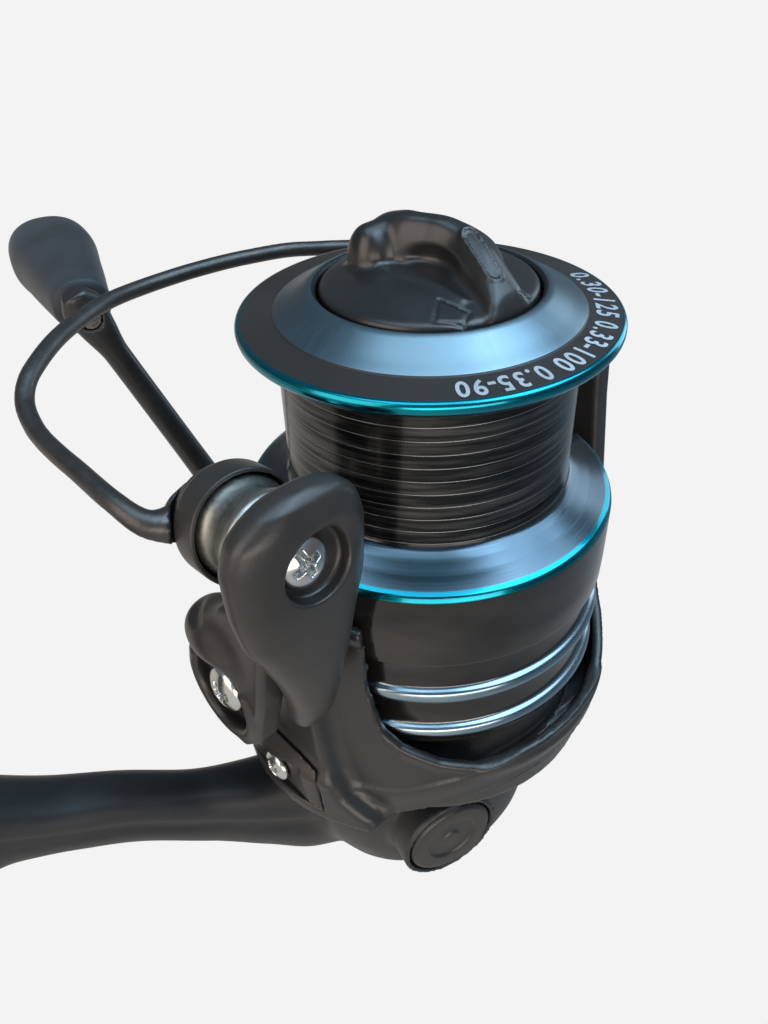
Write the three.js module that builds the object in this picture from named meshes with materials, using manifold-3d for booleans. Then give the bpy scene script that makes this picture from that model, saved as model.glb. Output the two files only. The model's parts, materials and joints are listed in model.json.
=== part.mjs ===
// An open-face spinning reel. Lengths are in millimetres and angles in degrees.
// The row frame has its origin at the centre of the foot's seat face. +Z runs along the spool's
// axis towards the
// drag knob, -X leaves the foot's seat, and +Y points to the crank handle. Pieces are laid out in
// the reel's own
// frame, whose Z axis is the spool's axis and whose zero height is the spool's lip, and moved to
// the row frame last.
import * as THREE from "three";
import { mergeVertices } from "three/addons/utils/BufferGeometryUtils.js";
import Module from "manifold-3d";

const wasm = await Module();
wasm.setup();

// ---- Driving dimensions ----
const GAP = 0.3; // between two pieces that seat on each other
const RUN = 0.3; // radial gap of a shaft in its bore
const SHAFT_R = 2.25; // main shaft
const STROKE = 11.5; // full travel of the spool
const STROKE_DOWN = 7.5; // of it, below the height drawn

const LIP_R = 24; // spool lip
const ARBOR_R = 19.2;
const ARBOR_H = 20; // width of the line
const LIP_H = 3.4; // from the lip down to the arbor
const FLANGE_H = 1.7; // rear flange of the arbor
const SKIRT_R = 25.5;
const SKIRT_H = 27.9;
const SKIRT_WALL = 1.9;
const WELL_R = 12.6; // well of the drag washers
const WELL_DEPTH = 9.6;
const RECESS_R = 14.2; // recess of the drag knob
const RECESS_TOP = 3.55; // above the lip

const WASHER_H = 0.7;
const KNOB_H = 11.3; // top of the drag knob's wing above the lip
const WING_AZ = -76; // heading of the wing

const ROTOR_RUN = 0.6; // radial gap between the skirt and the rotor's inner drum
const ROTOR_WALL = 1.6;
const CUP_WALL = 1.8;
const CUP_H = 5.5; // height of the rotor's outer rim
const PLATE_T = 2.5; // floor of the rotor drum
const PLATE_RISE = 13.5; // floor above the rim
const ARM_GAP = 1.3; // between the skirt and a rotor arm
const ARM_AZ = -165; // heading of the roller side arm
const ARM_T = 2.4;
const PIVOT_RISE = 21; // bail pivot above the rotor's rim
const PIVOT_BOSS_R = 4.5;

const ROLLER_R = 6;
const ROLLER_W = 8;
const ROLLER_RISE = 28.6; // roller above the bail pivot
const ROLLER_SIDE = 8; // roller beside the bail pivot
const ROLLER_OUT = 4.3; // roller's middle outside the arm
const ROLLER_YAW = -3; // heading of the roller's axis from the tangent
const ROLLER_PITCH = 11; // its rise
const ROLLER_CAP_R = 6.9;
const WIRE_R = 1.2;
const WIRE_REACH = 48.2; // wire from the spool's axis

const DRIVE_X = -8; // crank axis from the spool's axis, towards the foot
const DRIVE_DROP = 11.5; // crank axis below the rotor
const DRIVE_R = 2.5;
const GEAR_TEETH = 42;
const GEAR_R = 12.6;
const GEAR_T = 3.2;
const PINION_TEETH = 8;
const PINION_R = 5;
const OSC_MODULE = 0.8;
const OSC_TEETH = 25;
const OSC_DRIVER_TEETH = 13;
const OSC_T = 2.4;

const BODY_W = 16; // half width of the housing under the rotor
const WALL = 2.2;
const BODY_H = 36.5; // housing below the rotor
const BOSS_R = 8.2;
const BOSS_Y = 21.9; // end of each crank boss
const BEARING_R = 5.3;
const BEARING_T = 3.6;

const FOOT_X = -75; // seat face from the spool's axis
const FOOT_Z = -50; // middle of the foot from the lip
const FOOT_L = 56;
const FOOT_W = 16;
const FOOT_T = 2.6;
const STEM_W = 9;

const HANDLE_R = 70; // crank axis to knob axis
const HANDLE_TILT = 21.5; // from the spool's axis, towards the foot
const HANDLE_Y = 53.5;
const HANDLE_T = 4.4;
const KNOB_L = 35;
const KNOB_W = 8.8;
const SPINDLE_R = 2;

// ---- Heights that follow, from the spool's lip down ----
const Z_ARBOR = -LIP_H;
const Z_FLANGE = Z_ARBOR - ARBOR_H;
const Z_SKIRT = Z_FLANGE - FLANGE_H;
const Z_SKIRT_END = Z_SKIRT - SKIRT_H;
const Z_RIM = Z_SKIRT_END - STROKE_DOWN - 1.5; // top of the rotor's rim
const Z_CUP_END = Z_RIM - CUP_H;
const Z_PLATE = Z_RIM + PLATE_RISE;
const Z_PIVOT = Z_RIM + PIVOT_RISE;
const Z_BODY = Z_CUP_END - 0.7;
const Z_DRIVE = Z_CUP_END - DRIVE_DROP;
const Z_TAIL = Z_BODY - BODY_H;
const Z_WELL = -WELL_DEPTH;
const WASHERS = ["drag_felt_1", "drag_washer_keyed_1", "drag_felt_2", "drag_washer_eared",
  "drag_washer_keyed_2"];
const Z_PRESSURE = Z_WELL + GAP + WASHERS.length * (WASHER_H + GAP);
const PRESSURE_T = 1.8;
const SPRING_T = 1.6;
const NUT_T = 3.4;
const Z_NUT = Z_PRESSURE + PRESSURE_T + SPRING_T + 2 * GAP;

const drumR = SKIRT_R - SKIRT_WALL - ROTOR_RUN;
const cupR = SKIRT_R + 0.9;
const armIn = SKIRT_R + ARM_GAP;
const armOut = armIn + ARM_T;
const bossEnd = armOut + 4; // outer end of each bail pivot boss
const neckR = drumR - ROTOR_WALL - 0.3;
const shaftBore = SHAFT_R + RUN;
const pinionTubeR = shaftBore + 1.1;
const pinionZ = Z_DRIVE + Math.sqrt((GEAR_R - 1.6) ** 2 - DRIVE_X ** 2);
const oscSpan = (OSC_MODULE * (OSC_TEETH + OSC_DRIVER_TEETH)) / 2;
const oscZ = Z_DRIVE - Math.sqrt(oscSpan ** 2 - DRIVE_X ** 2);
const sliderZ = oscZ + STROKE_DOWN - STROKE / 2;
const oscTip = (OSC_MODULE * (OSC_TEETH + 1.1)) / 2;
const oscY = -8.6; // face of the oscillation gear
const SLIDER_WIDE = STROKE / 2 + 2.4; // half its width
const SLIDER_TALL = 2.6; // half its height
const SLIDER_FACE = 4.4; // its face towards the drive gear
const gearY = PINION_R + 0.6; // near face of the drive gear
const coverY = gearY + GEAR_T + 1.6; // joint of the housing and the side cover

// ---- Finishes ----
const finish = (color, roughness, metalness = 0) =>
  new THREE.MeshStandardMaterial({ color, roughness, metalness });
const graphite = finish(0x2c2d30, 0.5);
const rotorBlue = finish(0x1d2530, 0.42);
const gunmetal = finish(0x5c6b78, 0.3, 0.9);
const steel = finish(0xc4c8cc, 0.25, 1);
const brass = finish(0xb8964c, 0.35, 1);
const felt = finish(0x6b6257, 0.9);
const rubber = finish(0x17181a, 0.8);
const nylon = finish(0xd9d6cc, 0.6);
const softGrip = finish(0x33363a, 0.65);

// ---- Shapes ----
const rad = THREE.MathUtils.degToRad;
const V = (x, y, z) => new THREE.Vector3(x, y, z);

// A closed geometry as a manifold-3d solid.
function solid(geometry) {
  const bare = geometry.index ? geometry.toNonIndexed() : geometry.clone();
  bare.deleteAttribute("normal");
  bare.deleteAttribute("uv");
  const merged = mergeVertices(bare, 1e-4);
  const corners = [];
  for (let i = 0; i < merged.index.count; i += 3) {
    const [a, b, c] = [0, 1, 2].map((k) => merged.index.getX(i + k));
    if (a !== b && b !== c && c !== a) corners.push(a, b, c);
  }
  return new wasm.Manifold(
    new wasm.Mesh({
      numProp: 3,
      vertProperties: merged.attributes.position.array,
      triVerts: new Uint32Array(corners),
    }),
  );
}

const join = (first, ...rest) => rest.reduce((a, b) => a.add(solid(b)), asSolid(first));
const cut = (first, ...rest) => rest.reduce((a, b) => a.subtract(solid(b)), asSolid(first));
const common = (first, second) => asSolid(first).intersect(solid(second));
const asSolid = (shape) => (shape.isBufferGeometry ? solid(shape) : shape);

function geometryOf(shape) {
  if (shape.isBufferGeometry) return shape;
  const mesh = shape.getMesh();
  return new THREE.BufferGeometry()
    .setAttribute("position", new THREE.BufferAttribute(mesh.vertProperties, 3))
    .setIndex(new THREE.BufferAttribute(mesh.triVerts, 1));
}

// Turns a profile of [radius, height] about Z. A profile that leaves the axis closes on itself.
function revolve(profile, segments = 16) {
  const points = profile.map(([r, z]) => new THREE.Vector2(r, z));
  const area = points.reduce((sum, p, i) => sum + p.cross(points[(i + 1) % points.length]), 0);
  if (area < 0) points.reverse();
  const onAxis = points[0].x === 0 && points.at(-1).x === 0;
  if (points.some((p) => p.x > 0) && !onAxis) points.push(points[0].clone());
  return new THREE.LatheGeometry(points, segments).rotateX(Math.PI / 2);
}
const rod = (r, z0, z1, segments = 10) => revolve([[0, z0], [r, z0], [r, z1], [0, z1]], segments);
const ring = (inner, outer, z0, z1, segments = 14) =>
  revolve([[inner, z0], [outer, z0], [outer, z1], [inner, z1]], segments);
const toX = (geometry) => geometry.rotateY(Math.PI / 2); // Z becomes X
const toY = (geometry) => geometry.rotateX(-Math.PI / 2); // Z becomes Y

// A closed outline of [a, b, corner radius] points, extruded along one axis between two stations.
function outlineShape(points) {
  const shape = new THREE.Shape();
  points.forEach(([x, y, r = 0], i) => {
    const corner = new THREE.Vector2(x, y);
    const toward = (q) => {
      const other = new THREE.Vector2(q[0], q[1]);
      const reach = Math.min(r, corner.distanceTo(other) * 0.48);
      return corner.clone().add(other.sub(corner).setLength(reach));
    };
    const before = r ? toward(points.at(i - 1)) : corner;
    if (i) shape.lineTo(before.x, before.y);
    else shape.moveTo(before.x, before.y);
    if (!r) return;
    const after = toward(points[(i + 1) % points.length]);
    shape.quadraticCurveTo(x, y, after.x, after.y);
  });
  return shape;
}
const prism = (points, depth) =>
  new THREE.ExtrudeGeometry(outlineShape(points), { depth, bevelEnabled: false, curveSegments: 2 });
const slabZ = (points, z0, z1) => prism(points, z1 - z0).translate(0, 0, z0);
const slabY = (points, y0, y1) => prism(points, y1 - y0).rotateX(Math.PI / 2).translate(0, y1, 0);
const slabX = (points, x0, x1) =>
  prism(points, x1 - x0)
    .applyMatrix4(new THREE.Matrix4().makeBasis(V(0, 1, 0), V(0, 0, 1), V(1, 0, 0)))
    .translate(x0, 0, 0);
const block = (x0, x1, y0, y1, z0, z1) =>
  new THREE.BoxGeometry(x1 - x0, y1 - y0, z1 - z0).translate((x0 + x1) / 2, (y0 + y1) / 2, (z0 + z1) / 2);

// A skin over rings of the same count; each ring is a centre and two half-axes.
function loft(sections, sides = 12) {
  const positions = [];
  const index = [];
  for (const { at, u, v } of sections)
    for (let k = 0; k < sides; k++) {
      const angle = (2 * Math.PI * k) / sides;
      const point = at.clone().addScaledVector(u, Math.cos(angle)).addScaledVector(v, Math.sin(angle));
      positions.push(...point.toArray());
    }
  const last = (sections.length - 1) * sides;
  for (let s = 0; s + 1 < sections.length; s++)
    for (let k = 0; k < sides; k++) {
      const [a, b] = [s * sides + k, s * sides + ((k + 1) % sides)];
      index.push(a, b, b + sides, a, b + sides, a + sides);
    }
  const ends = positions.length / 3;
  positions.push(...sections[0].at.toArray(), ...sections.at(-1).at.toArray());
  for (let k = 0; k < sides; k++) {
    const next = (k + 1) % sides;
    index.push(ends, next, k, ends + 1, last + k, last + next);
  }
  const { at, u, v } = sections[0];
  const along = sections[1].at.clone().sub(at);
  if (u.clone().cross(v).dot(along) < 0) index.reverse();
  return new THREE.BufferGeometry()
    .setAttribute("position", new THREE.Float32BufferAttribute(positions, 3))
    .setIndex(index);
}

// A round tube along a smooth curve through points.
const pipe = (points, r, steps, sides = 8) =>
  new THREE.ExtrudeGeometry(circle(r, sides), {
    steps,
    extrudePath: points.isCurve ? points : new THREE.CatmullRomCurve3(points),
    curveSegments: 1,
  });
function circle(r, sides) {
  const angle = (k) => (2 * Math.PI * k) / sides;
  return new THREE.Shape(
    Array.from({ length: sides }, (_, k) => new THREE.Vector2(r * Math.cos(angle(k)),
      r * Math.sin(angle(k)))),
  );
}

// A gear's disc about Z; its first tooth points to the heading.
function gearDisc(teeth, rootR, tipR, bore, z0, z1, heading = 0) {
  const pitch = (2 * Math.PI) / teeth;
  const tooth = [[-0.26, rootR], [-0.1, tipR], [0.1, tipR], [0.26, rootR]];
  const points = [];
  for (let k = 0; k < teeth; k++)
    for (const [share, r] of tooth) {
      const angle = heading + (k + share) * pitch;
      points.push([r * Math.cos(angle), r * Math.sin(angle)]);
    }
  return cut(slabZ(points, z0, z1), rod(bore, z0 - 1, z1 + 1));
}

// A slotted screw along Z, its head's seat at zero and its shank below.
function screw(shankR, shankL, headR, headH) {
  const slot = block(-headR - 1, headR + 1, -0.35, 0.35, headH * 0.55, headH + 1);
  return cut(
    revolve([[0, -shankL], [shankR, -shankL], [shankR, 0], [headR, 0], [headR * 0.8, headH],
      [0, headH]], 9),
    slot,
  );
}

const reel = new THREE.Group();
function place(name, shape, material, parent = reel) {
  const mesh = new THREE.Mesh(geometryOf(shape), material);
  mesh.name = name;
  parent.add(mesh);
  return mesh;
}
function framed(parent, x, y, z, turnZ = 0) {
  const group = new THREE.Group();
  group.position.set(x, y, z);
  group.rotation.z = rad(turnZ);
  parent.add(group);
  return group;
}

// ---- Spool ----
const clipZ = Z_SKIRT - 8;
function spool() {
  const groove = SKIRT_R - 1.1;
  const hubR = shaftBore + 3.4;
  const hollow = ARBOR_R - 1.6;
  const wellFloor = Z_WELL - 2.4;
  const profile = [
    [shaftBore, Z_WELL],
    [WELL_R, Z_WELL],
    [WELL_R, -1.2],
    [RECESS_R - 0.4, -1.2],
    [RECESS_R - 0.4, RECESS_TOP - 0.4],
    [RECESS_R, RECESS_TOP],
    [LIP_R - 3.9, 0.5],
    [LIP_R - 0.8, 0.3],
    [LIP_R, -0.4],
    [LIP_R, -1.1],
    [LIP_R - 1.2, -2.2],
    [ARBOR_R, Z_ARBOR],
    [ARBOR_R, Z_FLANGE + 1],
    [ARBOR_R + 1.2, Z_FLANGE + 0.2],
    [SKIRT_R - 0.5, Z_SKIRT],
    [SKIRT_R, Z_SKIRT - 0.7],
    [SKIRT_R, Z_SKIRT - 12],
  ];
  for (const z of [Z_SKIRT_END + 10.4, Z_SKIRT_END + 3.2])
    profile.push([groove, z + 5.3], [groove, z + 0.3], [SKIRT_R, z], [SKIRT_R, z - 1.6]);
  profile.push(
    [SKIRT_R - 0.7, Z_SKIRT_END + 1.2],
    [SKIRT_R - 0.7, Z_SKIRT_END],
    [SKIRT_R - SKIRT_WALL, Z_SKIRT_END],
    [SKIRT_R - SKIRT_WALL, Z_SKIRT - 2],
    [hollow, Z_SKIRT - 0.8],
    [hollow, wellFloor],
    [hubR, wellFloor],
    [hubR, Z_FLANGE + 2],
    [shaftBore, Z_FLANGE + 2],
  );
  const pocket = block(SKIRT_R - 1.2, SKIRT_R + 2, -3.6, 3.6, clipZ - 2, clipZ + 2);
  place("spool", cut(revolve(profile, 24), pocket.rotateZ(rad(100))), gunmetal);
  const clip = block(SKIRT_R - 1.2 + GAP, SKIRT_R + 0.3, -3.6 + GAP, 3.6 - GAP, clipZ - 1.6, clipZ + 1.6);
  place("line_clip", clip.rotateZ(rad(100)), steel);
}

// ---- Drag stack, knob and main shaft ----
function drag() {
  let z = Z_WELL + GAP;
  for (const name of WASHERS) {
    const keyed = name.includes("keyed");
    const outer = WELL_R - (keyed ? 1.2 : 0.6);
    const inner = keyed ? shaftBore : SHAFT_R + 1.6;
    place(name, ring(inner, outer, z, z + WASHER_H), name.includes("felt") ? felt : steel);
    z += WASHER_H + GAP;
  }
  place("drag_retaining_ring", ring(WELL_R - 1.8, WELL_R - GAP, z, z + 0.6), steel);
  const plateR = WELL_R - 3.2;
  const face = z + PRESSURE_T;
  const plate = revolve([[shaftBore, z], [3.6, z], [3.6, z + 1], [plateR, z + 1], [plateR, face],
    [shaftBore, face]]);
  place("drag_pressure_plate", plate, steel);
  place("drag_spring", ring(shaftBore + 0.3, shaftBore + 2.2, face + GAP, face + GAP + SPRING_T), steel);
  const nutTop = Z_NUT + NUT_T;
  place("drag_nut", cut(rod(4.6, Z_NUT, nutTop, 6), rod(shaftBore, Z_NUT - 1, nutTop + 1)), brass);
  knob(nutTop);
  place("drag_seal", ring(RECESS_R - 2.6, RECESS_R - 0.7, -0.9, -0.2), rubber);
}

function knob(nutTop) {
  const rimR = RECESS_R - 0.8;
  const cavityR = 5.2;
  const top = nutTop + GAP;
  const disc = revolve([
    [cavityR, 0.1],
    [rimR, 0.1],
    [rimR, RECESS_TOP - 0.3],
    [rimR - 1.4, RECESS_TOP + 0.5],
    [0, RECESS_TOP + 2.4],
    [0, top],
    [cavityR, top],
  ], 24);
  const wing = loft(
    [[-12.3, 1.2, 5.4], [-11.2, 2.9, 7.4], [-8.5, 3.6, 9.6], [-4.5, 4, KNOB_H], [0, 3.8, KNOB_H],
    [4.5, 4, 10.6],
      [8.6, 3.7, 9.2], [11.2, 3, 7.8], [12.3, 1.2, 5.6]].map(([x, w, h]) => ({
      at: V(x, 0, RECESS_TOP + 0.6),
      u: V(0, w, 0),
      v: V(0, 0, h - RECESS_TOP - 0.6),
    })),
  );
  const above = block(-20, 20, -20, 20, RECESS_TOP + 0.4, KNOB_H + 5);
  const whole = join(disc, geometryOf(common(wing, above)).rotateZ(rad(WING_AZ)));
  place("drag_knob", cut(whole, rod(cavityR, -1, top)), graphite);
}

function mainShaft() {
  const top = Z_NUT + NUT_T - GAP;
  const end = sliderZ - 1.5;
  const pinZ = Z_FLANGE - 1.4;
  const shaft = cut(rod(SHAFT_R, end, top), toY(rod(0.9, -6, 6, 8)).translate(0, 0, pinZ));
  place("main_shaft", shaft, steel);
  place("shaft_pin", toY(rod(0.6, -5, 5, 8)).translate(0, 0, pinZ), steel);
  const seatTop = Z_FLANGE + 2 - GAP;
  const seat = revolve([
    [shaftBore, seatTop],
    [shaftBore + 4.4, seatTop],
    [shaftBore + 4.4, seatTop - 1.6],
    [shaftBore + 2, seatTop - 1.6],
    [shaftBore + 2, pinZ - 2],
    [shaftBore, pinZ - 2],
  ]);
  place("spool_seat", cut(seat, toY(rod(0.9, -9, 9, 8)).translate(0, 0, pinZ)), nylon);
}

// ---- Rotor, in a frame whose X axis points to the roller side arm ----
const rotorFrame = framed(reel, 0, 0, 0, ARM_AZ);
const coverTop = Z_PIVOT - 15;
const armHalf = 9; // half width of each arm at mid height
const armFoot = 15; // and where it meets the rim
const coverX = armOut + GAP;
const coverScrewZ = Z_RIM - 0.5;

function rotorBody() {
  const inner = drumR - ROTOR_WALL;
  const bore = pinionTubeR + GAP;
  const drum = revolve([
    [bore, Z_PLATE],
    [bore, Z_PLATE - PLATE_T],
    [inner, Z_PLATE - PLATE_T],
    [inner, Z_RIM - 1.6],
    [cupR - CUP_WALL, Z_RIM - 1.6],
    [cupR - CUP_WALL, Z_CUP_END],
    [cupR - 1.2, Z_CUP_END],
    [cupR - 0.3, Z_CUP_END + 1.6],
    [cupR, Z_RIM - 0.8],
    [cupR - 0.8, Z_RIM],
    [drumR, Z_RIM],
    [drumR, Z_RIM + 24],
    [inner, Z_RIM + 24],
    [inner, Z_PLATE],
  ], 26);
  const side = [
    [-armFoot, Z_CUP_END],
    [armFoot, Z_CUP_END],
    [armFoot - 1, Z_RIM, 3],
    [armHalf + 1, Z_RIM + 6, 5],
    [armHalf - 1, Z_PIVOT - 5, 4],
    [6.5, Z_PIVOT + 7, 5],
    [-6.5, Z_PIVOT + 7, 5],
    [-armHalf + 1, Z_PIVOT - 5, 4],
    [-armHalf - 1, Z_RIM + 6, 5],
    [-armFoot + 1, Z_RIM, 3],
  ];
  const root = [[cupR - 1, Z_RIM], [armIn, Z_RIM], [armIn, Z_RIM - 3], [armOut, Z_RIM - 3],
    [armOut, Z_CUP_END],
    [cupR - 1, Z_CUP_END]];
  const arm = () => join(
    slabX(side, armIn, armOut),
    slabY(root, -armFoot + 1, armFoot - 1),
    slabY([[armIn, Z_CUP_END + 1.5], [coverX + 3.2, Z_CUP_END + 1.5], [coverX + 2, Z_CUP_END],
      [armIn, Z_CUP_END]], -6, 6),
    toX(rod(PIVOT_BOSS_R, armOut - 0.5, bossEnd, 16)).translate(0, 0, Z_PIVOT),
  );
  const holes = (z, r, x1) => toX(rod(r, armIn - 2, x1, 10)).translate(0, 0, z);
  const armCut = () => cut(arm(), holes(Z_PIVOT, 1.5, bossEnd + 2), holes(coverScrewZ, 1.2, armOut + 2));
  const farArm = geometryOf(armCut()).rotateZ(Math.PI);
  const body = cut(
    join(drum, geometryOf(armCut()), farArm),
    rod(1.2, Z_PLATE - PLATE_T - 1, Z_PLATE + 1, 8).translate(9, 0, 0),
  );
  place("rotor", body, rotorBlue, rotorFrame);
  place("rotor_nut", cut(rod(6.6, Z_PLATE + GAP, Z_PLATE + 3.8, 6), rod(pinionTubeR + GAP, -200, 0)),
    brass, rotorFrame);
  const lock = place("nut_lock_screw", screw(0.9, 2.4, 1.9, 1.2), steel, rotorFrame);
  lock.position.set(9, 0, Z_PLATE + GAP);
}

// The cover plates of the two arms, each with its screw.
function armCovers() {
  for (const [name, turn] of [["roller_arm_cover", 0], ["holder_arm_cover", 180]]) {
    const frame = framed(rotorFrame, 0, 0, 0, turn);
    const outline = [
      [-armFoot + 3, Z_CUP_END + 3, 2],
      [-4, Z_CUP_END + 1.9],
      [4, Z_CUP_END + 1.9],
      [armFoot - 3, Z_CUP_END + 3, 2],
      [armHalf, coverTop - 5, 3],
      [armHalf - 3, coverTop, 2],
      [-armHalf + 3, coverTop, 2],
      [-armHalf, coverTop - 5, 3],
    ];
    const seatX = coverX + 1.2;
    const plate = cut(
      slabX(outline, coverX, coverX + 3.2),
      toX(rod(1.3, coverX - 1, coverX + 9, 10)).translate(0, 0, coverScrewZ),
      toX(rod(2.9, seatX, coverX + 9, 12)).translate(0, 0, coverScrewZ),
    );
    place(name, plate, graphite, frame);
    const fixing = place(name + "_screw", screw(0.9, 3, 2.4, 1.3), steel, frame);
    fixing.rotation.y = Math.PI / 2;
    fixing.position.set(seatX + GAP, 0, coverScrewZ);
  }
}

// ---- Bail ----
const leverX = bossEnd + GAP;
const rollerZ = Z_PIVOT + ROLLER_RISE;
const rollerFrame = framed(rotorFrame, armOut + ROLLER_OUT, ROLLER_SIDE, rollerZ);
rollerFrame.rotation.set(rad(ROLLER_PITCH), 0, rad(ROLLER_YAW), "ZXY");
rollerFrame.updateMatrix();
const onRoller = (geometry) => toY(geometry).applyMatrix4(rollerFrame.matrix);
const half = ROLLER_W / 2;
const headIn = half + GAP;
const headOut = headIn + 6.2;
const section = (x, y, z, wide, thick) => ({ at: V(x, y, z), u: V(wide, 0, 0), v: V(0, thick, 0) });

function bailArm() {
  const zs = (rise) => Z_PIVOT + rise;
  const x = armOut + ROLLER_OUT;
  const lever = slabX([
    [-8, zs(-3), 4], [-8, zs(5), 4], [-5.5, zs(12), 3], [0, zs(17.5), 3], [6, zs(19)], [12, zs(20)],
    [14, zs(14), 3],
    [12.5, zs(4), 4], [8, zs(-6), 5], [0, zs(-8.6), 5], [-6, zs(-7), 3],
  ], leverX, leverX + 4.1);
  const club = loft([
    section(x - 0.5, 15.8, zs(38.5), 2.4, 1.4), section(x - 0.5, 15.7, zs(37.2), 5, 2.4),
    section(x - 0.5, 15.5, zs(35), 6.8, 3),
    section(x - 0.5, 15.3, zs(31.5), 7.5, 3.2), section(x - 0.4, 15.2, zs(27), 7.4, 3.2),
    section(x, 15, zs(22), 6.9, 3.1),
    section(x + 0.2, 14.2, zs(17), 6.2, 2.9), section(x + 0.7, 12.6, zs(11), 5.2, 2.8),
    section(x + 1, 10.8, zs(5), 4.2, 2.5),
    section(x + 1, 9.5, zs(0.5), 3.1, 2), section(x + 1, 9, zs(-1.4), 1.4, 1.1),
  ], 14);
  const lobe = loft([[0.2, 0.6, 11.5, 4.6], [2.5, 0, 11, 5.4], [4.6, -0.5, 10, 5.1],
    [6.4, -0.8, 9.3, 3.9], [7.4, -0.9, 9, 1.9]]
    .map(([out, y, rise, r]) => ({ at: V(leverX + out, y, zs(rise)), u: V(0, r, 0), v: V(0, 0, r) })), 14);
  const pocketed = cut(
    join(lever, club),
    toX(rod(5.5, leverX + 1.8, leverX + 9, 18)).translate(0, 0, Z_PIVOT),
  );
  const arm = cut(
    join(pocketed, lobe),
    onRoller(rod(1.9, headIn - 4, headOut + 4, 12)),
    onRoller(rod(3.5, headOut - 2.6, headOut + 4, 14)),
    toX(rod(1.9, leverX - 2, leverX + 9, 12)).translate(0, 0, Z_PIVOT),
    toX(rod(3.6, leverX + 1.8, leverX + 4.2, 14)).translate(0, 0, Z_PIVOT),
    onRoller(rod(ROLLER_CAP_R + 1, -half - GAP, headIn - 0.01, 20)),
    toX(rod(PIVOT_BOSS_R + GAP, armIn - 2, leverX, 16)).translate(0, 0, Z_PIVOT),
    block(armIn - 3, armOut + GAP, -15, 15, zs(-16), zs(9)),
  );
  place("bail_arm", arm, graphite, rotorFrame);
  const pivot = place("bail_pivot_screw", screw(1.2, 6.8, 3.3, 1.7), steel, rotorFrame);
  pivot.rotation.y = Math.PI / 2;
  pivot.position.set(leverX + 1.8 + GAP, 0, Z_PIVOT);
}

const capIn = -half - GAP;
const capProfile = (grow) => [
  [0, capIn - 5.4 - grow], [4.4 + grow, capIn - 5.4 - grow], [6.4 + grow, capIn - 3.8],
  [ROLLER_CAP_R + grow, capIn - 0.8],
];
function lineRoller() {
  const dish = [[-half, ROLLER_R], [-half + 1.2, ROLLER_R], [0, ROLLER_R - 1], [half - 1.2, ROLLER_R],
    [half, ROLLER_R]];
  const profile = [[3.1, -half], ...dish.map(([z, r]) => [r, z]), [3.1, half]];
  place("line_roller", toY(revolve(profile, 24)), steel, rollerFrame);
  place("roller_bushing", toY(ring(1.9, 2.8, -half, half, 16)), nylon, rollerFrame);
  const cap = revolve([
    ...capProfile(0), [ROLLER_CAP_R, capIn], [1.9, capIn], [1.9, capIn - 3], [0, capIn - 3],
  ], 24);
  place("bail_cap", toY(cap), graphite, rollerFrame);
  const fixing = place("roller_screw", screw(1.6, headOut - 2.6 + half + 2.6, 3, 1.9), steel, rollerFrame);
  fixing.rotation.x = -Math.PI / 2;
  fixing.position.set(0, headOut - 2.6 + GAP, 0);
}

const holderEnd = V(-leverX - 1.6, -7, Z_PIVOT + 23.6);
function bailWire() {
  const out = armOut + ROLLER_OUT;
  const reach = WIRE_REACH;
  const wireAt = (x, y, rise) => V(x, y, rollerZ + rise);
  const root = wireAt(out + 0.1, ROLLER_SIDE - 8.5, -1.2);
  const neck = wireAt(out + 8.1, ROLLER_SIDE - 8.6, 1);
  const path = [
    root,
    wireAt(out + 4.9, ROLLER_SIDE - 7.6, -0.2),
    neck,
    wireAt(reach - 5.2, -4.4, 2.5),
    wireAt(reach - 4.8, -12, 3.2),
    wireAt(reach - 5.1, -21.6, 2.8),
    wireAt(reach - 6.3, -28.6, 3.8),
    wireAt(reach - 9.6, -33.1, 5.7),
    wireAt(reach - 15.1, -37.9, 6.4),
    wireAt(20.7, -46.3, 5.8),
    wireAt(12.7, -48.3, 5.4),
    wireAt(3.6, -48.2, 5.4),
    wireAt(-5.3, -47.1, 5.2),
    wireAt(-13.7, -44.4, 4.9),
    wireAt(-reach * 0.6, -reach * 0.72, 3),
    wireAt(-reach * 0.72, -reach * 0.44, -1),
    V(holderEnd.x + 0.3, holderEnd.y - 4.4, holderEnd.z + 1),
    holderEnd,
  ];
  const flare = loft([[0, 5], [0.35, 4], [0.6, 2.9], [0.85, 1.8], [1.05, 1.1]].map(([share, r]) => ({
    at: root.clone().lerp(neck, share),
    u: V(0, r, 0),
    v: V(0, 0, r),
  })), 12);
  const wire = cut(
    join(pipe(path, WIRE_R, 44, 7), flare),
    onRoller(revolve([...capProfile(GAP), [ROLLER_CAP_R + GAP, headIn], [0, headIn]], 24)),
  );
  place("bail_wire", wire, graphite, rotorFrame);
}

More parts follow.
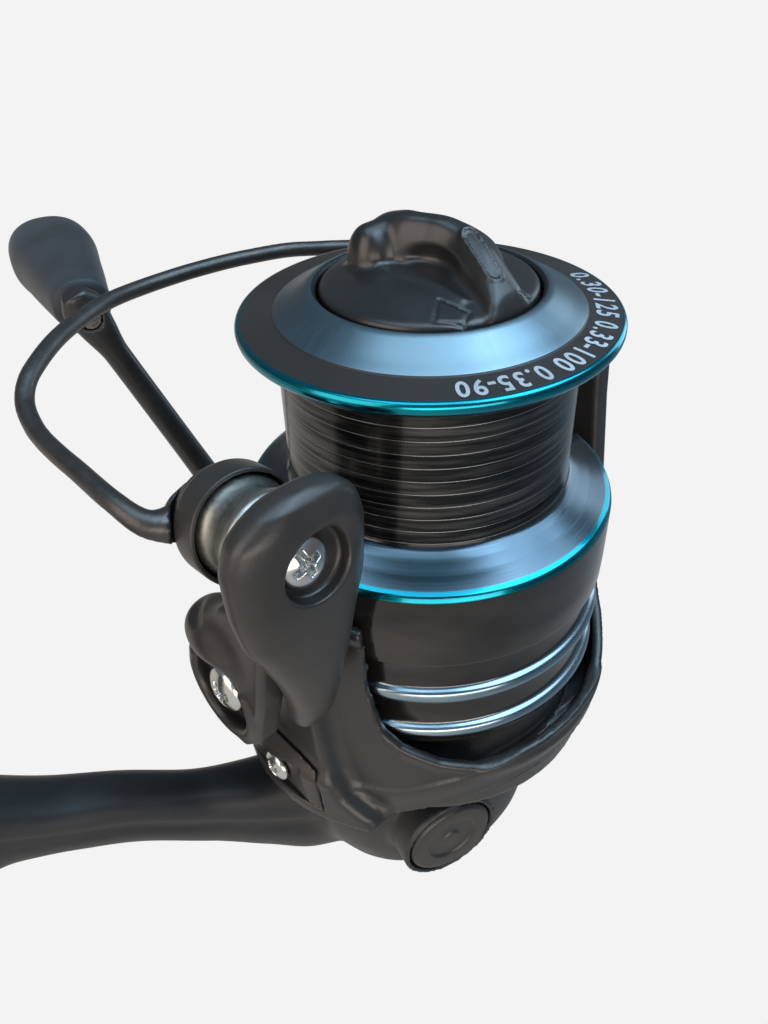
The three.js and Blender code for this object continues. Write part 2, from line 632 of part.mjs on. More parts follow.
function bailHolder() {
  const frame = framed(rotorFrame, 0, 0, 0, 180);
  const z = holderEnd.z;
  const y = -holderEnd.y; // the frame is turned half round
  const side = [
    [7.4, Z_PIVOT - 3, 4], [9, Z_PIVOT + 8, 3], [y + 3.2, z - 5, 3], [y + 0.4 - GAP, z + 3, 1],
    [y - 4.4, z + 3, 3],
    [-1, z - 0.5, 2], [-4.6, z - 1.5, 2], [-5, z - 7.5], [-7, Z_PIVOT - 4, 4], [0, Z_PIVOT - 8, 4],
  ];
  const arm = cut(
    slabX(side, leverX, leverX + 3.6),
    toX(rod(1.9, leverX - 2, leverX + 9, 12)).translate(0, 0, Z_PIVOT),
    toX(rod(3.4, leverX + 1.8, leverX + 9, 14)).translate(0, 0, Z_PIVOT),
    toY(rod(WIRE_R + GAP, y - 0.8, y + 12, 10)).translate(leverX + 1.6, 0, z),
  );
  place("bail_holder", arm, graphite, frame);
  const pivot = place("holder_pivot_screw", screw(1.2, 6.6, 2.9, 1.6), steel, frame);
  pivot.rotation.y = Math.PI / 2;
  pivot.position.set(leverX + 1.8 + GAP, 0, Z_PIVOT);
}

// ---- Pinion, bearing and one-way clutch on the neck ----
const neckTop = Z_RIM - 1.1;
const neckPlate = 3;
const clutchTop = Z_PLATE - PLATE_T - 1.9;
const bearingTop = neckTop + 4.4;
function pinionStack() {
  const teeth = 8;
  const pinion = join(
    gearDisc(PINION_TEETH, PINION_R - 1.5, PINION_R - 0.05, shaftBore, pinionZ - 4, pinionZ + 4),
    geometryOf(cut(rod(pinionTubeR, pinionZ + 3.9, Z_PLATE + 5, 20), rod(shaftBore, -200, 0))),
  );
  place("pinion", pinion, brass, rotorFrame);
  const inner = pinionTubeR + GAP;
  place("pinion_bearing", ring(inner, teeth, neckTop, bearingTop), steel);
  place("clutch_sleeve", ring(inner, inner + 1.6, bearingTop + 0.6, clutchTop + 0.8), steel, rotorFrame);
  place("one_way_clutch", ring(inner + 1.9, 10, bearingTop + 0.6, clutchTop), gunmetal);
  place("clutch_retainer", ring(inner + 2.2, 12.2, clutchTop + GAP, clutchTop + 1.2), steel);
}

// ---- Housing ----
const sideOutline = (inset) => [
  [-26 + inset, Z_BODY - inset],
  [22 - inset, Z_BODY - inset, 2],
  [20 - inset, Z_BODY - 13, 6],
  [14.5 - inset, Z_TAIL + 12, 6],
  [8.5 - inset * 0.6, Z_TAIL + 2.5 + inset, 4],
  [-3, Z_TAIL + inset, 4],
  [-12 + inset * 0.6, Z_TAIL + 3.5 + inset, 4],
  [-20 + inset, Z_TAIL + 12 + inset * 0.5, 6],
  [-26 + inset, Z_BODY - 17, 5],
];
// Rings that round the housing's plan: height, middle and half width along X, half width along Y.
const roundings = [
  [Z_BODY + 2, -3.4, 24, 22.8], [Z_BODY - 11, -4, 23, 20.6], [Z_BODY - 23, -2.6, 20, 18.2],
  [Z_TAIL + 7, -0.8, 16, 15.2],
  [Z_TAIL + 3, 0, 13.6, 13.2], [Z_TAIL - 0.5, 0, 10.5, 10],
];
const rounded = (inset) => loft(roundings.map(([z, x, wide, deep]) => ({
  at: V(x, 0, z),
  u: V(wide - inset, 0, 0),
  v: V(0, deep - inset, 0),
})), 28);
const housing = (inset, y0, y1) => common(
  common(slabY(sideOutline(inset), y0, y1), rounded(inset)),
  block(-40, 40, -BODY_W + inset, BODY_W - inset, -200, 0),
);
const boss = (r, y0, y1, segments = 20) => toY(rod(r, y0, y1, segments)).translate(DRIVE_X, 0, Z_DRIVE);
const screwSpots = [[15, Z_BODY - 5.5], [8, Z_TAIL + 7.5], [-22, Z_BODY - 4]];
const rodX = 6;
const rodR = 1.1;

// Each ring of the stem: its middle, its lean, and its half height and half width.
const stemSections = () => [
  [-16, -86.5, 4, 11, 7.5], [-25, -84.4, 5, 10.6, 6.6], [-33, -80.4, 8, 8.4, 5.6],
  [-42, -74.9, 12, 6.8, STEM_W / 2],
  [-52, -67.9, 16, 6, STEM_W / 2], [-60, -63.7, 12, 5.7, STEM_W / 2 + 0.3],
  [-67, -59.9, 6, 6.6, STEM_W / 2 + 0.7],
  [-70.6, -57.8, 2, 8.6, STEM_W / 2 + 1.1], [FOOT_X + FOOT_T - 0.4, -56.4, 0, 12.5, STEM_W / 2 + 1.6],
].map(([x, z, lean, tall, wide]) => ({
  at: V(x, 0, z),
  u: V(Math.sin(rad(lean)) * tall, 0, Math.cos(rad(lean)) * tall),
  v: V(0, wide, 0),
}));

function foot() {
  const end = FOOT_L / 2;
  const thick = FOOT_X + FOOT_T;
  const side = [
    [FOOT_X, FOOT_Z - end], [FOOT_X + 1, FOOT_Z - end], [thick, FOOT_Z - end * 0.55, 6],
    [thick, FOOT_Z + end * 0.55, 6],
    [FOOT_X + 1, FOOT_Z + end], [FOOT_X, FOOT_Z + end],
  ];
  const face = [
    [-FOOT_W / 2, FOOT_Z - end * 0.72, 7], [-3, FOOT_Z - end, 5], [3, FOOT_Z - end, 5],
    [FOOT_W / 2, FOOT_Z - end * 0.72, 7],
    [FOOT_W / 2, FOOT_Z + end * 0.72, 7], [3, FOOT_Z + end, 5], [-3, FOOT_Z + end, 5],
    [-FOOT_W / 2, FOOT_Z + end * 0.72, 7],
  ];
  return common(slabY(side, -FOOT_W, FOOT_W), slabX(face, FOOT_X - 5, FOOT_X + 9));
}

// Where the slider runs, at both ends of its stroke.
function sliderRoom() {
  const wide = SLIDER_WIDE + 0.4;
  return block(-wide, wide, -6, SLIDER_FACE + GAP, sliderZ - SLIDER_TALL - STROKE_DOWN - 0.6, sliderZ);
}

function bodyFrame() {
  const shell = housing(0, -BODY_W - 1, coverY);
  const inside = housing(WALL, -BODY_W + WALL, coverY + 5);
  const neck = revolve([
    [0, Z_BODY - 2.5], [neckR, Z_BODY - 2.5], [neckR, neckTop], [12.3, neckTop], [12.3, clutchTop],
    [0, clutchTop],
  ], 24);
  const stem = loft(stemSections(), 14);
  const whole = join(
    shell,
    geometryOf(cut(neck, block(-40, 40, coverY, 40, Z_BODY - 9, Z_BODY))),
    boss(BOSS_R, -BOSS_Y, -BODY_W + 4),
    stem,
    geometryOf(foot()),
  );
  let body = cut(
    whole,
    geometryOf(inside),
    rod(neckR - 1.8, Z_BODY - WALL - 1, neckTop - neckPlate, 24),
    rod(10.3, neckTop + 4, clutchTop + 1, 16),
    rod(8.3, neckTop - GAP, neckTop + 5, 16),
    rod(PINION_R + 1.2, neckTop - neckPlate - 1, neckTop, 16),
    boss(BEARING_R + GAP, -BOSS_Y + 3, -BODY_W + 5, 20),
    boss(4, -BOSS_Y - 1, -BODY_W + 4, 16),
    boss(7.4, -BOSS_Y - 1, -BOSS_Y + 1.5),
    boss(GEAR_R + 0.6, gearY - 0.6, coverY + 1),
    toY(rod(oscTip + 0.6, oscY - OSC_T - 0.5, -4, 20)).translate(0, 0, oscZ),
    sliderRoom(),
  );
  for (const [x, z] of screwSpots) {
    body = join(body, toY(rod(2.6, coverY - 5.4, coverY, 8)).translate(x, 0, z));
    body = cut(body, toY(rod(1.3, coverY - 4.4, coverY + 1, 8)).translate(x, 0, z));
  }
  const rodSeat = rod(rodR + GAP, Z_TAIL + WALL - 0.6, neckTop - neckPlate + 1.4, 10).translate(rodX, 0, 0);
  place("body_frame", cut(body, rodSeat), graphite);
  place("slider_guide_rod", rod(rodR, Z_TAIL + WALL - 0.3, neckTop - neckPlate + 1.1,
    10).translate(rodX, 0, 0), steel);
}

function sideCover() {
  const shell = housing(0, coverY + GAP, BODY_W + 1);
  const inside = housing(WALL + GAP, coverY - 1, BODY_W - WALL);
  let cover = join(
    cut(shell, geometryOf(inside)),
    boss(BOSS_R, coverY + 1.6, BOSS_Y),
  );
  cover = cut(cover, boss(BEARING_R + GAP, coverY, BOSS_Y - 1.4, 20), boss(4, 0, BOSS_Y + 1, 16));
  for (const [x, z] of screwSpots) {
    cover = join(cover, toY(rod(3.2, coverY + GAP, coverY + 3.4, 8)).translate(x, 0, z));
    cover = cut(
      cover,
      toY(rod(1.3, coverY - 1, coverY + 9, 8)).translate(x, 0, z),
      toY(rod(2.7, coverY + 1.8, coverY + 12, 8)).translate(x, 0, z),
    );
  }
  place("side_cover", cover, graphite);
  screwSpots.forEach(([x, z], i) => {
    const fixing = place("cover_screw_" + (i + 1), screw(0.95, 5.6, 2.3, 1.4), steel);
    fixing.rotation.x = -Math.PI / 2;
    fixing.position.set(x, coverY + 1.8 + GAP, z);
  });
  const outer = -BOSS_Y - 0.3;
  const cap = revolve([[0, outer], [7.1, outer], [7.1, outer + 1.5], [3.7, outer + 1.5],
    [3.7, outer + 2.5], [0, outer + 2.5]], 20);
  place("boss_cap", toY(cap).translate(DRIVE_X, 0, Z_DRIVE), graphite);
}

// ---- Drive train ----
function driveTrain() {
  const at = (geometry) => toY(geometry).translate(DRIVE_X, 0, Z_DRIVE);
  const shaft = cut(rod(DRIVE_R, -BOSS_Y + 2.8, BOSS_Y + 1, 16), rod(1.5, 8, BOSS_Y + 2, 10));
  const pitchR = (OSC_MODULE * OSC_DRIVER_TEETH) / 2;
  const mesh = Math.atan2(Z_DRIVE - oscZ, -DRIVE_X); // heading from the driver to the oscillation gear
  const gap = Math.PI / OSC_DRIVER_TEETH;
  const pinionRing = gearDisc(OSC_DRIVER_TEETH, pitchR - 0.85, pitchR + 0.47, 1, oscY - OSC_T, oscY,
    mesh + gap);
  place("drive_shaft", at(geometryOf(join(shaft, geometryOf(cut(pinionRing, rod(2, -200, 200)))))), steel);
  const gear = join(
    gearDisc(GEAR_TEETH, GEAR_R - 1.2, GEAR_R, DRIVE_R + GAP, gearY, gearY + GEAR_T),
    ring(DRIVE_R + GAP, 5, gearY - 0.8, gearY + 0.1, 16),
  );
  place("drive_gear", at(geometryOf(gear)), brass);
  const bearing = (y0) => at(ring(DRIVE_R + GAP, BEARING_R, y0, y0 + BEARING_T));
  place("drive_bearing_inner", bearing(-BOSS_Y + 3.3), steel);
  place("drive_bearing_outer", bearing(BOSS_Y - 1.7 - BEARING_T), steel);
  const root = (OSC_MODULE * (OSC_TEETH - 2)) / 2;
  const pinR = 1.5;
  const pinRise = sliderZ - oscZ;
  const osc = join(
    gearDisc(OSC_TEETH, root, oscTip, 1.6, oscY - OSC_T, oscY, mesh + Math.PI),
    rod(pinR, oscY - 0.1, -5.9, 10).translate(Math.sqrt((STROKE / 2) ** 2 - pinRise ** 2), -pinRise, 0),
  );
  place("oscillation_gear", toY(geometryOf(osc)).translate(0, 0, oscZ), nylon);
}

// The slider on the shaft's end; its open slot faces the crank pin, and its screw is sunk in the
// other face.
function slider() {
  const head = 1.1;
  const [wide, tall, face] = [SLIDER_WIDE, SLIDER_TALL, SLIDER_FACE];
  const blockShape = cut(
    block(-wide, wide, -5.5, face, sliderZ - tall, sliderZ + tall),
    block(-wide + 1, wide - 1, -6, -3.4, sliderZ - 1.6, sliderZ + 1.6),
    rod(shaftBore, sliderZ - 1.8, sliderZ + 9, 16),
    rod(rodR + GAP, sliderZ - 9, sliderZ + 9, 10).translate(rodX, 0, 0),
    toY(rod(1.2, 1, 6, 10)).translate(0, 0, sliderZ),
    toY(rod(1.9, face - head, 6, 10)).translate(0, 0, sliderZ),
  );
  place("slider", blockShape, nylon);
  const fixing = place("slider_screw", screw(0.9, 1.1, 1.6, head - GAP), steel);
  fixing.rotation.x = -Math.PI / 2;
  fixing.position.set(0, face - head + GAP, sliderZ);
}

// ---- Handle ----
const armEnd = V(
  DRIVE_X - HANDLE_R * Math.sin(rad(HANDLE_TILT)),
  HANDLE_Y,
  Z_DRIVE + HANDLE_R * Math.cos(rad(HANDLE_TILT)),
);
function handle() {
  const across = V(Math.cos(rad(HANDLE_TILT)), 0, Math.sin(rad(HANDLE_TILT)));
  const hubAt = V(DRIVE_X, HANDLE_Y, Z_DRIVE);
  const arm = loft([[-0.075, 3], [-0.04, 5.2], [0.03, 5.6], [0.12, 4], [0.3, 2.7], [0.6, 2.3],
    [0.88, 2.3], [0.95, 3.7], [1.02, 4.2],
    [1.065, 2.4]].map(([share, w]) => ({
      at: hubAt.clone().lerp(armEnd, share),
      u: across.clone().multiplyScalar(w),
      v: V(0, HANDLE_T / 2, 0),
    })), 10);
  const onDrive = (geometry) => toY(geometry).translate(DRIVE_X, 0, Z_DRIVE);
  const stalk = revolve([
    [0, 10], [1.2, 10], [1.2, BOSS_Y + 1.3], [5.6, BOSS_Y + 1.3], [5.6, BOSS_Y + 7], [4.4, BOSS_Y + 9],
    [4, HANDLE_Y - 6], [5.6, HANDLE_Y - 2], [5.6, HANDLE_Y], [0, HANDLE_Y],
  ], 18);
  const whole = cut(
    join(arm, onDrive(stalk)),
    toY(rod(SPINDLE_R - 0.4 + GAP, HANDLE_Y - 9, HANDLE_Y + 9, 12)).translate(armEnd.x, 0, armEnd.z),
  );
  place("handle_arm", whole, graphite);
  const knobFrame = framed(reel, armEnd.x, HANDLE_Y + HANDLE_T / 2, armEnd.z);
  const tipY = KNOB_L;
  const spindle = revolve([
    [0, -HANDLE_T], [SPINDLE_R - 0.4, -HANDLE_T], [SPINDLE_R - 0.4, GAP], [SPINDLE_R + 1.4, GAP],
    [SPINDLE_R + 1.4, 1.3],
    [SPINDLE_R, 1.3], [SPINDLE_R, tipY - 5], [SPINDLE_R + 1.2, tipY - 5], [SPINDLE_R + 1.2, tipY - 4],
    [0, tipY - 4],
  ], 12);
  place("knob_spindle", toY(spindle), steel, knobFrame);
  const grip = loft([[1.7, 3.9], [3, 5], [7, 5.3], [13, 6.1], [20, 7.3], [27, KNOB_W],
    [31, KNOB_W - 0.3], [34, 6.2], [tipY, 4.6]]
    .map(([y, w]) => ({ at: V(0, y, 0), u: V(w, 0, 0), v: V(0, 0, w * 0.94) })), 14);
  const grooved = cut(
    grip,
    toY(rod(SPINDLE_R + GAP, 0, tipY - 5.3, 14)),
    toY(rod(SPINDLE_R + 1.8, tipY - 5.4, tipY + 1, 14)),
  );
  place("handle_knob", grooved, softGrip, knobFrame);
  place("knob_cap", toY(rod(SPINDLE_R + 1.5, tipY - 3.6, tipY, 14)), graphite, knobFrame);
}

spool();
drag();
mainShaft();
rotorBody();
armCovers();
bailArm();
lineRoller();
bailWire();
bailHolder();
pinionStack();
bodyFrame();
sideCover();
driveTrain();
slider();
handle();

reel.position.set(-FOOT_X, 0, -FOOT_Z);
const spinningReel = new THREE.Group();
spinningReel.add(reel);
export default spinningReel;
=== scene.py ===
"""An open-face spinning reel: the shape and finish of every piece that shows, around the packed frame."""

import json
import math

import bpy
import numpy as np
from mathutils import Matrix, Vector


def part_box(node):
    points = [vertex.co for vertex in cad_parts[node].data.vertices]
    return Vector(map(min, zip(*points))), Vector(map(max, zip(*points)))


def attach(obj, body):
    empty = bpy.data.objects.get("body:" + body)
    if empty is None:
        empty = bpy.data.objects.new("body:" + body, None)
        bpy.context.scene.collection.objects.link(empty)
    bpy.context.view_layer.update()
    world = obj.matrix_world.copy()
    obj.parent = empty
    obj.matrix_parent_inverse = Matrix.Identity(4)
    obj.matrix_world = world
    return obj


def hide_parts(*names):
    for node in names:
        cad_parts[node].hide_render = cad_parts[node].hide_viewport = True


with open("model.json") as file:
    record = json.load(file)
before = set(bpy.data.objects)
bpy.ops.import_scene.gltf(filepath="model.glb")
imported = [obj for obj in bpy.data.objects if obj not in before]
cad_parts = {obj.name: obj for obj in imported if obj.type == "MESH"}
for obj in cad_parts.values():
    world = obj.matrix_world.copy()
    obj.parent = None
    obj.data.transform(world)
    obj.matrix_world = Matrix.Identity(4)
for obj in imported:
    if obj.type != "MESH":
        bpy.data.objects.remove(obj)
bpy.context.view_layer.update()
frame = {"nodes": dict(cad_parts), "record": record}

bl_info = {
    "name": "Spinning reel",
    "version": (1, 0, 0),
    "blender": (4, 5, 0),
    "location": "3D View > Sidebar > Reel",
    "description": "Builds the visible pieces of an open-face spinning reel around its packed frame",
    "category": "Object",
}

MM = 0.001

# ---- Sizes in millimetres. Heights are counted from the spool's lip, and the spool's axis is at zero. ----
LIP_R = 24.0
LIP_INNER_R, LIP_RISE, LIP_SLOPE = 19.35, 0.72, 0.1215
ARBOR_R = 19.2
SKIRT_R = 25.5
SKIRT_WALL = 1.9
SHAFT_BORE = 2.55
WELL_R, WELL_Z = 12.6, -9.6
RECESS_R, RECESS_RISE = 14.2, 3.55
Z_ARBOR = -3.4
Z_FLANGE = -23.4
Z_SKIRT = -25.1
Z_SKIRT_END = -53.0
Z_CUP_END = -67.5
Z_PLATE = -48.5
Z_PIVOT = -41.0
Z_BODY = -68.2
Z_TAIL = -104.7
Z_DRIVE = -79.0
DRUM_R = 23.0
ARM_IN, ARM_OUT = 26.8, 29.2
BOSS_END = 33.2
LEVER_X = 33.5
ARM_HEADING = -165.0
ROLLER_AT = (33.5, 8.0, -12.4)
ROLLER_YAW, ROLLER_PITCH = -3.0, 11.0
ROLLER_R, ROLLER_HALF, CAP_R, CAP_LONG = 6.0, 4.0, 6.9, 5.35
HEAD_IN, HEAD_OUT = 4.3, 10.5
WIRE_R = 1.2
WING_HEADING = -76.0
DRIVE_X = -8.0
BOSS_R, BOSS_Y = 8.2, 21.9
BODY_HALF = 16.0
COVER_Y = 10.4
FOOT_X, FOOT_Z, FOOT_L, FOOT_W, FOOT_T = -75.0, -50.0, 56.0, 16.0, 2.6
HANDLE_R, HANDLE_TILT, HANDLE_Y, HANDLE_T = 70.0, 21.5, 53.5, 4.4
KNOB_L = 35.0
GAP = 0.3


def reel_home():
    """The point on the spool's axis at the height of its lip, in metres in the row frame."""
    low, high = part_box("main_shaft")
    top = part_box("spool")[1][2]
    return Vector(((low[0] + high[0]) / 2, (low[1] + high[1]) / 2, top - RECESS_RISE * MM))


HOME = reel_home()
STAND = Matrix()
ROTOR = Matrix.Rotation(math.radians(ARM_HEADING), 4, "Z")
FAR_ARM = ROTOR @ Matrix.Rotation(math.pi, 4, "Z")
ALONG_Y = Matrix.Rotation(-math.pi / 2, 4, "X")  # Z becomes Y
ALONG_X = Matrix.Rotation(math.pi / 2, 4, "Y")  # Z becomes X
IN_ROTOR = (
    Matrix.Translation(ROLLER_AT)
    @ Matrix.Rotation(math.radians(ROLLER_YAW), 4, "Z")
    @ Matrix.Rotation(math.radians(ROLLER_PITCH), 4, "X")
)
ROLLER = ROTOR @ IN_ROTOR @ ALONG_Y
WING = Matrix.Rotation(math.radians(WING_HEADING), 4, "Z")
CRANK = Matrix.Translation((DRIVE_X, 0, Z_DRIVE)) @ ALONG_Y
HANDLE_END = Vector((
    DRIVE_X - HANDLE_R * math.sin(math.radians(HANDLE_TILT)),
    HANDLE_Y,
    Z_DRIVE + HANDLE_R * math.cos(math.radians(HANDLE_TILT)),
))
KNOB = Matrix.Translation(HANDLE_END + Vector((0, HANDLE_T / 2, 0))) @ ALONG_Y


# ---- Solid shapes as distance fields: an array of points in, their distances to the surface out ----
def soft_min(a, b, blend):
    share = np.clip(0.5 + 0.5 * (b - a) / blend, 0, 1)
    return b + (a - b) * share - blend * share * (1 - share)


def fuse(blend, first, *others):
    for other in others:
        first = soft_min(first, other, blend)
    return first


def carve(body, tool, blend=0.3):
    return -soft_min(-body, tool, blend)


def overlap(a, b, blend=0.3):
    return -soft_min(-a, -b, blend)


def local(points, matrix):
    """Points as seen in a frame that sits at the matrix."""
    inverse = np.array(matrix.inverted())
    return points @ inverse[:3, :3].T + inverse[:3, 3]


def ball(p, centre, radii):
    scaled = (p - np.array(centre)) / np.array(radii)
    reach = np.sqrt((scaled**2).sum(1))
    return (reach - 1) * min(radii)


def outline(u, v, corners):
    """Signed distance to a closed polygon in the plane."""
    nearest = np.full(len(u), 1e18)
    inside = np.zeros(len(u), bool)
    for (ax, ay), (bx, by) in zip(corners, corners[1:] + corners[:1]):
        ex, ey = bx - ax, by - ay
        share = np.clip(((u - ax) * ex + (v - ay) * ey) / max(ex * ex + ey * ey, 1e-12), 0, 1)
        nearest = np.minimum(nearest, (u - ax - share * ex) ** 2 + (v - ay - share * ey) ** 2)
        above = (ay > v) != (by > v)
        if ey:
            inside ^= above & (u < ex * (v - ay) / ey + ax)
    return np.sqrt(nearest) * np.where(inside, -1, 1)


def thick(flat, across, low, high, edge):
    """A flat shape given a thickness, with its edges rounded."""
    rise = np.abs(across - (low + high) / 2) - (high - low) / 2 + edge
    flat = flat + edge
    inside = np.minimum(np.maximum(flat, rise), 0)
    return inside + np.hypot(np.maximum(flat, 0), np.maximum(rise, 0)) - edge


def rod(p, start, end, radius, edge=0.2, far_radius=None):
    """A round bar between two points, tapered if a far radius is given."""
    start, end = np.array(start, float), np.array(end, float)
    span = np.linalg.norm(end - start)
    way = (end - start) / span
    along = (p - start) @ way
    out = np.sqrt(np.maximum(((p - start) ** 2).sum(1) - along**2, 0))
    far_radius = radius if far_radius is None else far_radius
    taper = radius + (far_radius - radius) * np.clip(along / span, 0, 1)
    return thick(out - taper, along, 0, span, edge)


def box(p, low, high, edge=0.4):
    low, high = np.array(low, float), np.array(high, float)
    d = np.abs(p - (low + high) / 2) - (high - low) / 2 + edge
    return np.sqrt((np.maximum(d, 0) ** 2).sum(1)) + np.minimum(d.max(1), 0) - edge


def between(t, step, start, start_slope, end, end_slope):
    """A value on the smooth curve from one value and slope to the next, at a share t of the step."""
    return (
        start * (2 * t**3 - 3 * t**2 + 1) + start_slope * step * (t**3 - 2 * t**2 + t)
        + end * (3 * t**2 - 2 * t**3) + end_slope * step * (t**3 - t**2)
    )


def curve(x, xs, ys):
    """A smooth value that passes through given ones without swinging past them."""
    xs, ys = np.asarray(xs, float), np.asarray(ys, float)
    step = np.diff(xs)
    rate = np.diff(ys) / step
    slope = np.concatenate([[rate[0]], np.zeros(len(rate) - 1), [rate[-1]]])
    same = rate[1:] * rate[:-1] > 0
    slope[1:-1][same] = 2 * rate[1:][same] * rate[:-1][same] / (rate[1:][same] + rate[:-1][same])
    i = np.clip(np.searchsorted(xs, x) - 1, 0, len(step) - 1)
    t = np.clip((x - xs[i]) / step[i], 0, 1)
    return between(t, step[i], ys[i], slope[i], ys[i + 1], slope[i + 1])


def swept(u, a, b, stations, power=2.3):
    """A bar along u. Each station is (u, middle a, middle b, half width a, half width b)."""
    stations = sorted(stations)
    at, mid_a, mid_b, half_a, half_b = (np.array(column, float) for column in zip(*stations))
    mid_a, mid_b, half_a, half_b = (curve(u, at, v) for v in (mid_a, mid_b, half_a, half_b))
    half_a, half_b = np.maximum(half_a, 0.05), np.maximum(half_b, 0.05)
    reach = (np.abs((a - mid_a) / half_a) ** power + np.abs((b - mid_b) / half_b) ** power) ** (1 / power)
    side = (reach - 1) * np.minimum(half_a, half_b)
    return overlap(side, np.maximum(at[0] - u, u - at[-1]), 0.5)


BLOCK = 6  # grid steps along the side of a block that is tried before its points are
NEAR = 1.9  # blocks whose middle lies within this many sides of the surface are worked out
BATCH = 400000  # points worked out at a time
SETTLINGS = 3


def spread(grid):
    """The value of each block, given to all of its points."""
    return grid.repeat(BLOCK, 0).repeat(BLOCK, 1).repeat(BLOCK, 2)


def surface_of(field, low, high, step):
    """Vertices in millimetres and four-sided faces of the surface where a field is zero."""
    low = np.array(low, float)
    spans = [max(1, math.ceil((b - a) / (step * BLOCK))) for a, b in zip(low, high)]
    lines = [a + step * (BLOCK * (np.arange(n) + 0.5) - 0.5) for a, n in zip(low, spans)]
    middles = np.stack(np.meshgrid(*lines, indexing="ij"), -1)
    rough = field(middles.reshape(-1, 3)).reshape(spans)
    distance = spread(rough)
    near = np.argwhere(spread(np.abs(rough) < NEAR * step * BLOCK))
    for part in np.array_split(near, max(1, len(near) // BATCH)):
        distance[tuple(part.T)] = field(low + step * part)
    distance[distance == 0] = 1e-9
    shape = np.array(distance.shape)
    cells, points, quads = [], [], []
    for axis in range(3):
        u, v = (axis + 1) % 3, (axis + 2) % 3
        near_side = np.take(distance, range(shape[axis] - 1), axis)
        far_side = np.take(distance, range(1, shape[axis]), axis)
        edge = np.argwhere((near_side < 0) != (far_side < 0))
        sides = edge[:, [u, v]]
        edge = edge[((sides > 0) & (sides < shape[[u, v]] - 1)).all(1)]
        a, b = near_side[tuple(edge.T)], far_side[tuple(edge.T)]
        point = edge.astype(float)
        point[:, axis] += a / (a - b)
        corner = []
        for du, dv in ((1, 1), (0, 1), (0, 0), (1, 0)):
            cell = edge.copy()
            cell[:, u] -= du
            cell[:, v] -= dv
            corner.append(np.ravel_multi_index(tuple(cell.T), tuple(shape)))
            cells.append(corner[-1])
            points.append(point)
        corner = np.stack(corner, 1)
        quads.append(np.where((a < 0)[:, None], corner, corner[:, ::-1]))
    cells, points = np.concatenate(cells), np.concatenate(points)
    kept, where = np.unique(cells, return_inverse=True)
    count = np.bincount(where)
    vertices = low + step * np.stack([np.bincount(where, points[:, k]) / count for k in range(3)], 1)
    faces = np.searchsorted(kept, np.concatenate(quads))
    for _ in range(SETTLINGS):
        vertices = settle(field, vertices, step)
    return vertices, faces


def settle(field, vertices, step):
    """Moves vertices onto the surface of a field."""
    reach = step * 0.2
    here = field(vertices)
    slope = np.stack([
        (field(vertices + reach * unit) - field(vertices - reach * unit)) / (2 * reach) for unit in np.eye(3)
    ], 1)
    move = -here[:, None] * slope / np.maximum((slope**2).sum(1), 0.05)[:, None]
    size = np.linalg.norm(move, axis=1, keepdims=True)
    return vertices + move * np.minimum(1, 0.45 * step / np.maximum(size, 1e-9))


# ---- Meshes ----
def to_row(vertices, place):
    matrix = np.array(place)
    turned = np.asarray(vertices, float) @ matrix[:3, :3].T + matrix[:3, 3]
    return turned * MM + np.array(HOME)


def make_piece(name, vertices, faces, place, materials, finish_of_face=None, sharp=None):
    """A mesh object at the origin, its place in its vertices."""
    mesh = bpy.data.meshes.new(name)
    mesh.from_pydata(to_row(vertices, place).tolist(), [], [list(map(int, face)) for face in faces])
    mesh.validate()
    materials = materials if isinstance(materials, (list, tuple)) else [materials]
    for material in materials:
        mesh.materials.append(material)
    if finish_of_face is not None:
        mesh.polygons.foreach_set("material_index", finish_of_face)
    mesh.shade_smooth()
    if sharp:
        mesh.set_sharp_from_angle(angle=math.radians(sharp))
    piece = bpy.data.objects.new(name, mesh)
    bpy.context.scene.collection.objects.link(piece)
    return piece


def fit(piece, body, slot, *nodes):
    """Tells the frame which body carries a piece, its material slot, and the nodes that it stands for."""
    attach(piece, body)
    if nodes:
        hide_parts(*nodes)
    return piece


def sculpted(name, field, low, high, step, place, material):
    vertices, faces = surface_of(field, low, high, step)
    if not len(faces):
        raise RuntimeError(name + " has no surface")
    return make_piece(name, vertices, faces, place, material)


def rounded_profile(profile):
    """Corners with a radius become short arcs. Gives points and the finish of the stretch after each."""
    points, finishes = [], []
    count = len(profile)
    for i, corner in enumerate(profile):
        r, z, edge, finish = corner
        here = np.array((r, z), float)
        before, after = (np.array(profile[j % count][:2], float) for j in (i - 1, i + 1))
        if edge:
            a, b = here - before, after - here
            edge = min(edge, 0.48 * np.linalg.norm(a), 0.48 * np.linalg.norm(b))
            first, last = here - a / np.linalg.norm(a) * edge, here + b / np.linalg.norm(b) * edge
            previous = profile[i - 1][3]
            for t in np.linspace(0, 1, 5):
                points.append((1 - t) ** 2 * first + 2 * t * (1 - t) * here + t**2 * last)
                finishes.append(previous if t < 0.5 else finish)
        else:
            points.append(here)
            finishes.append(finish)
    return np.array(points), finishes


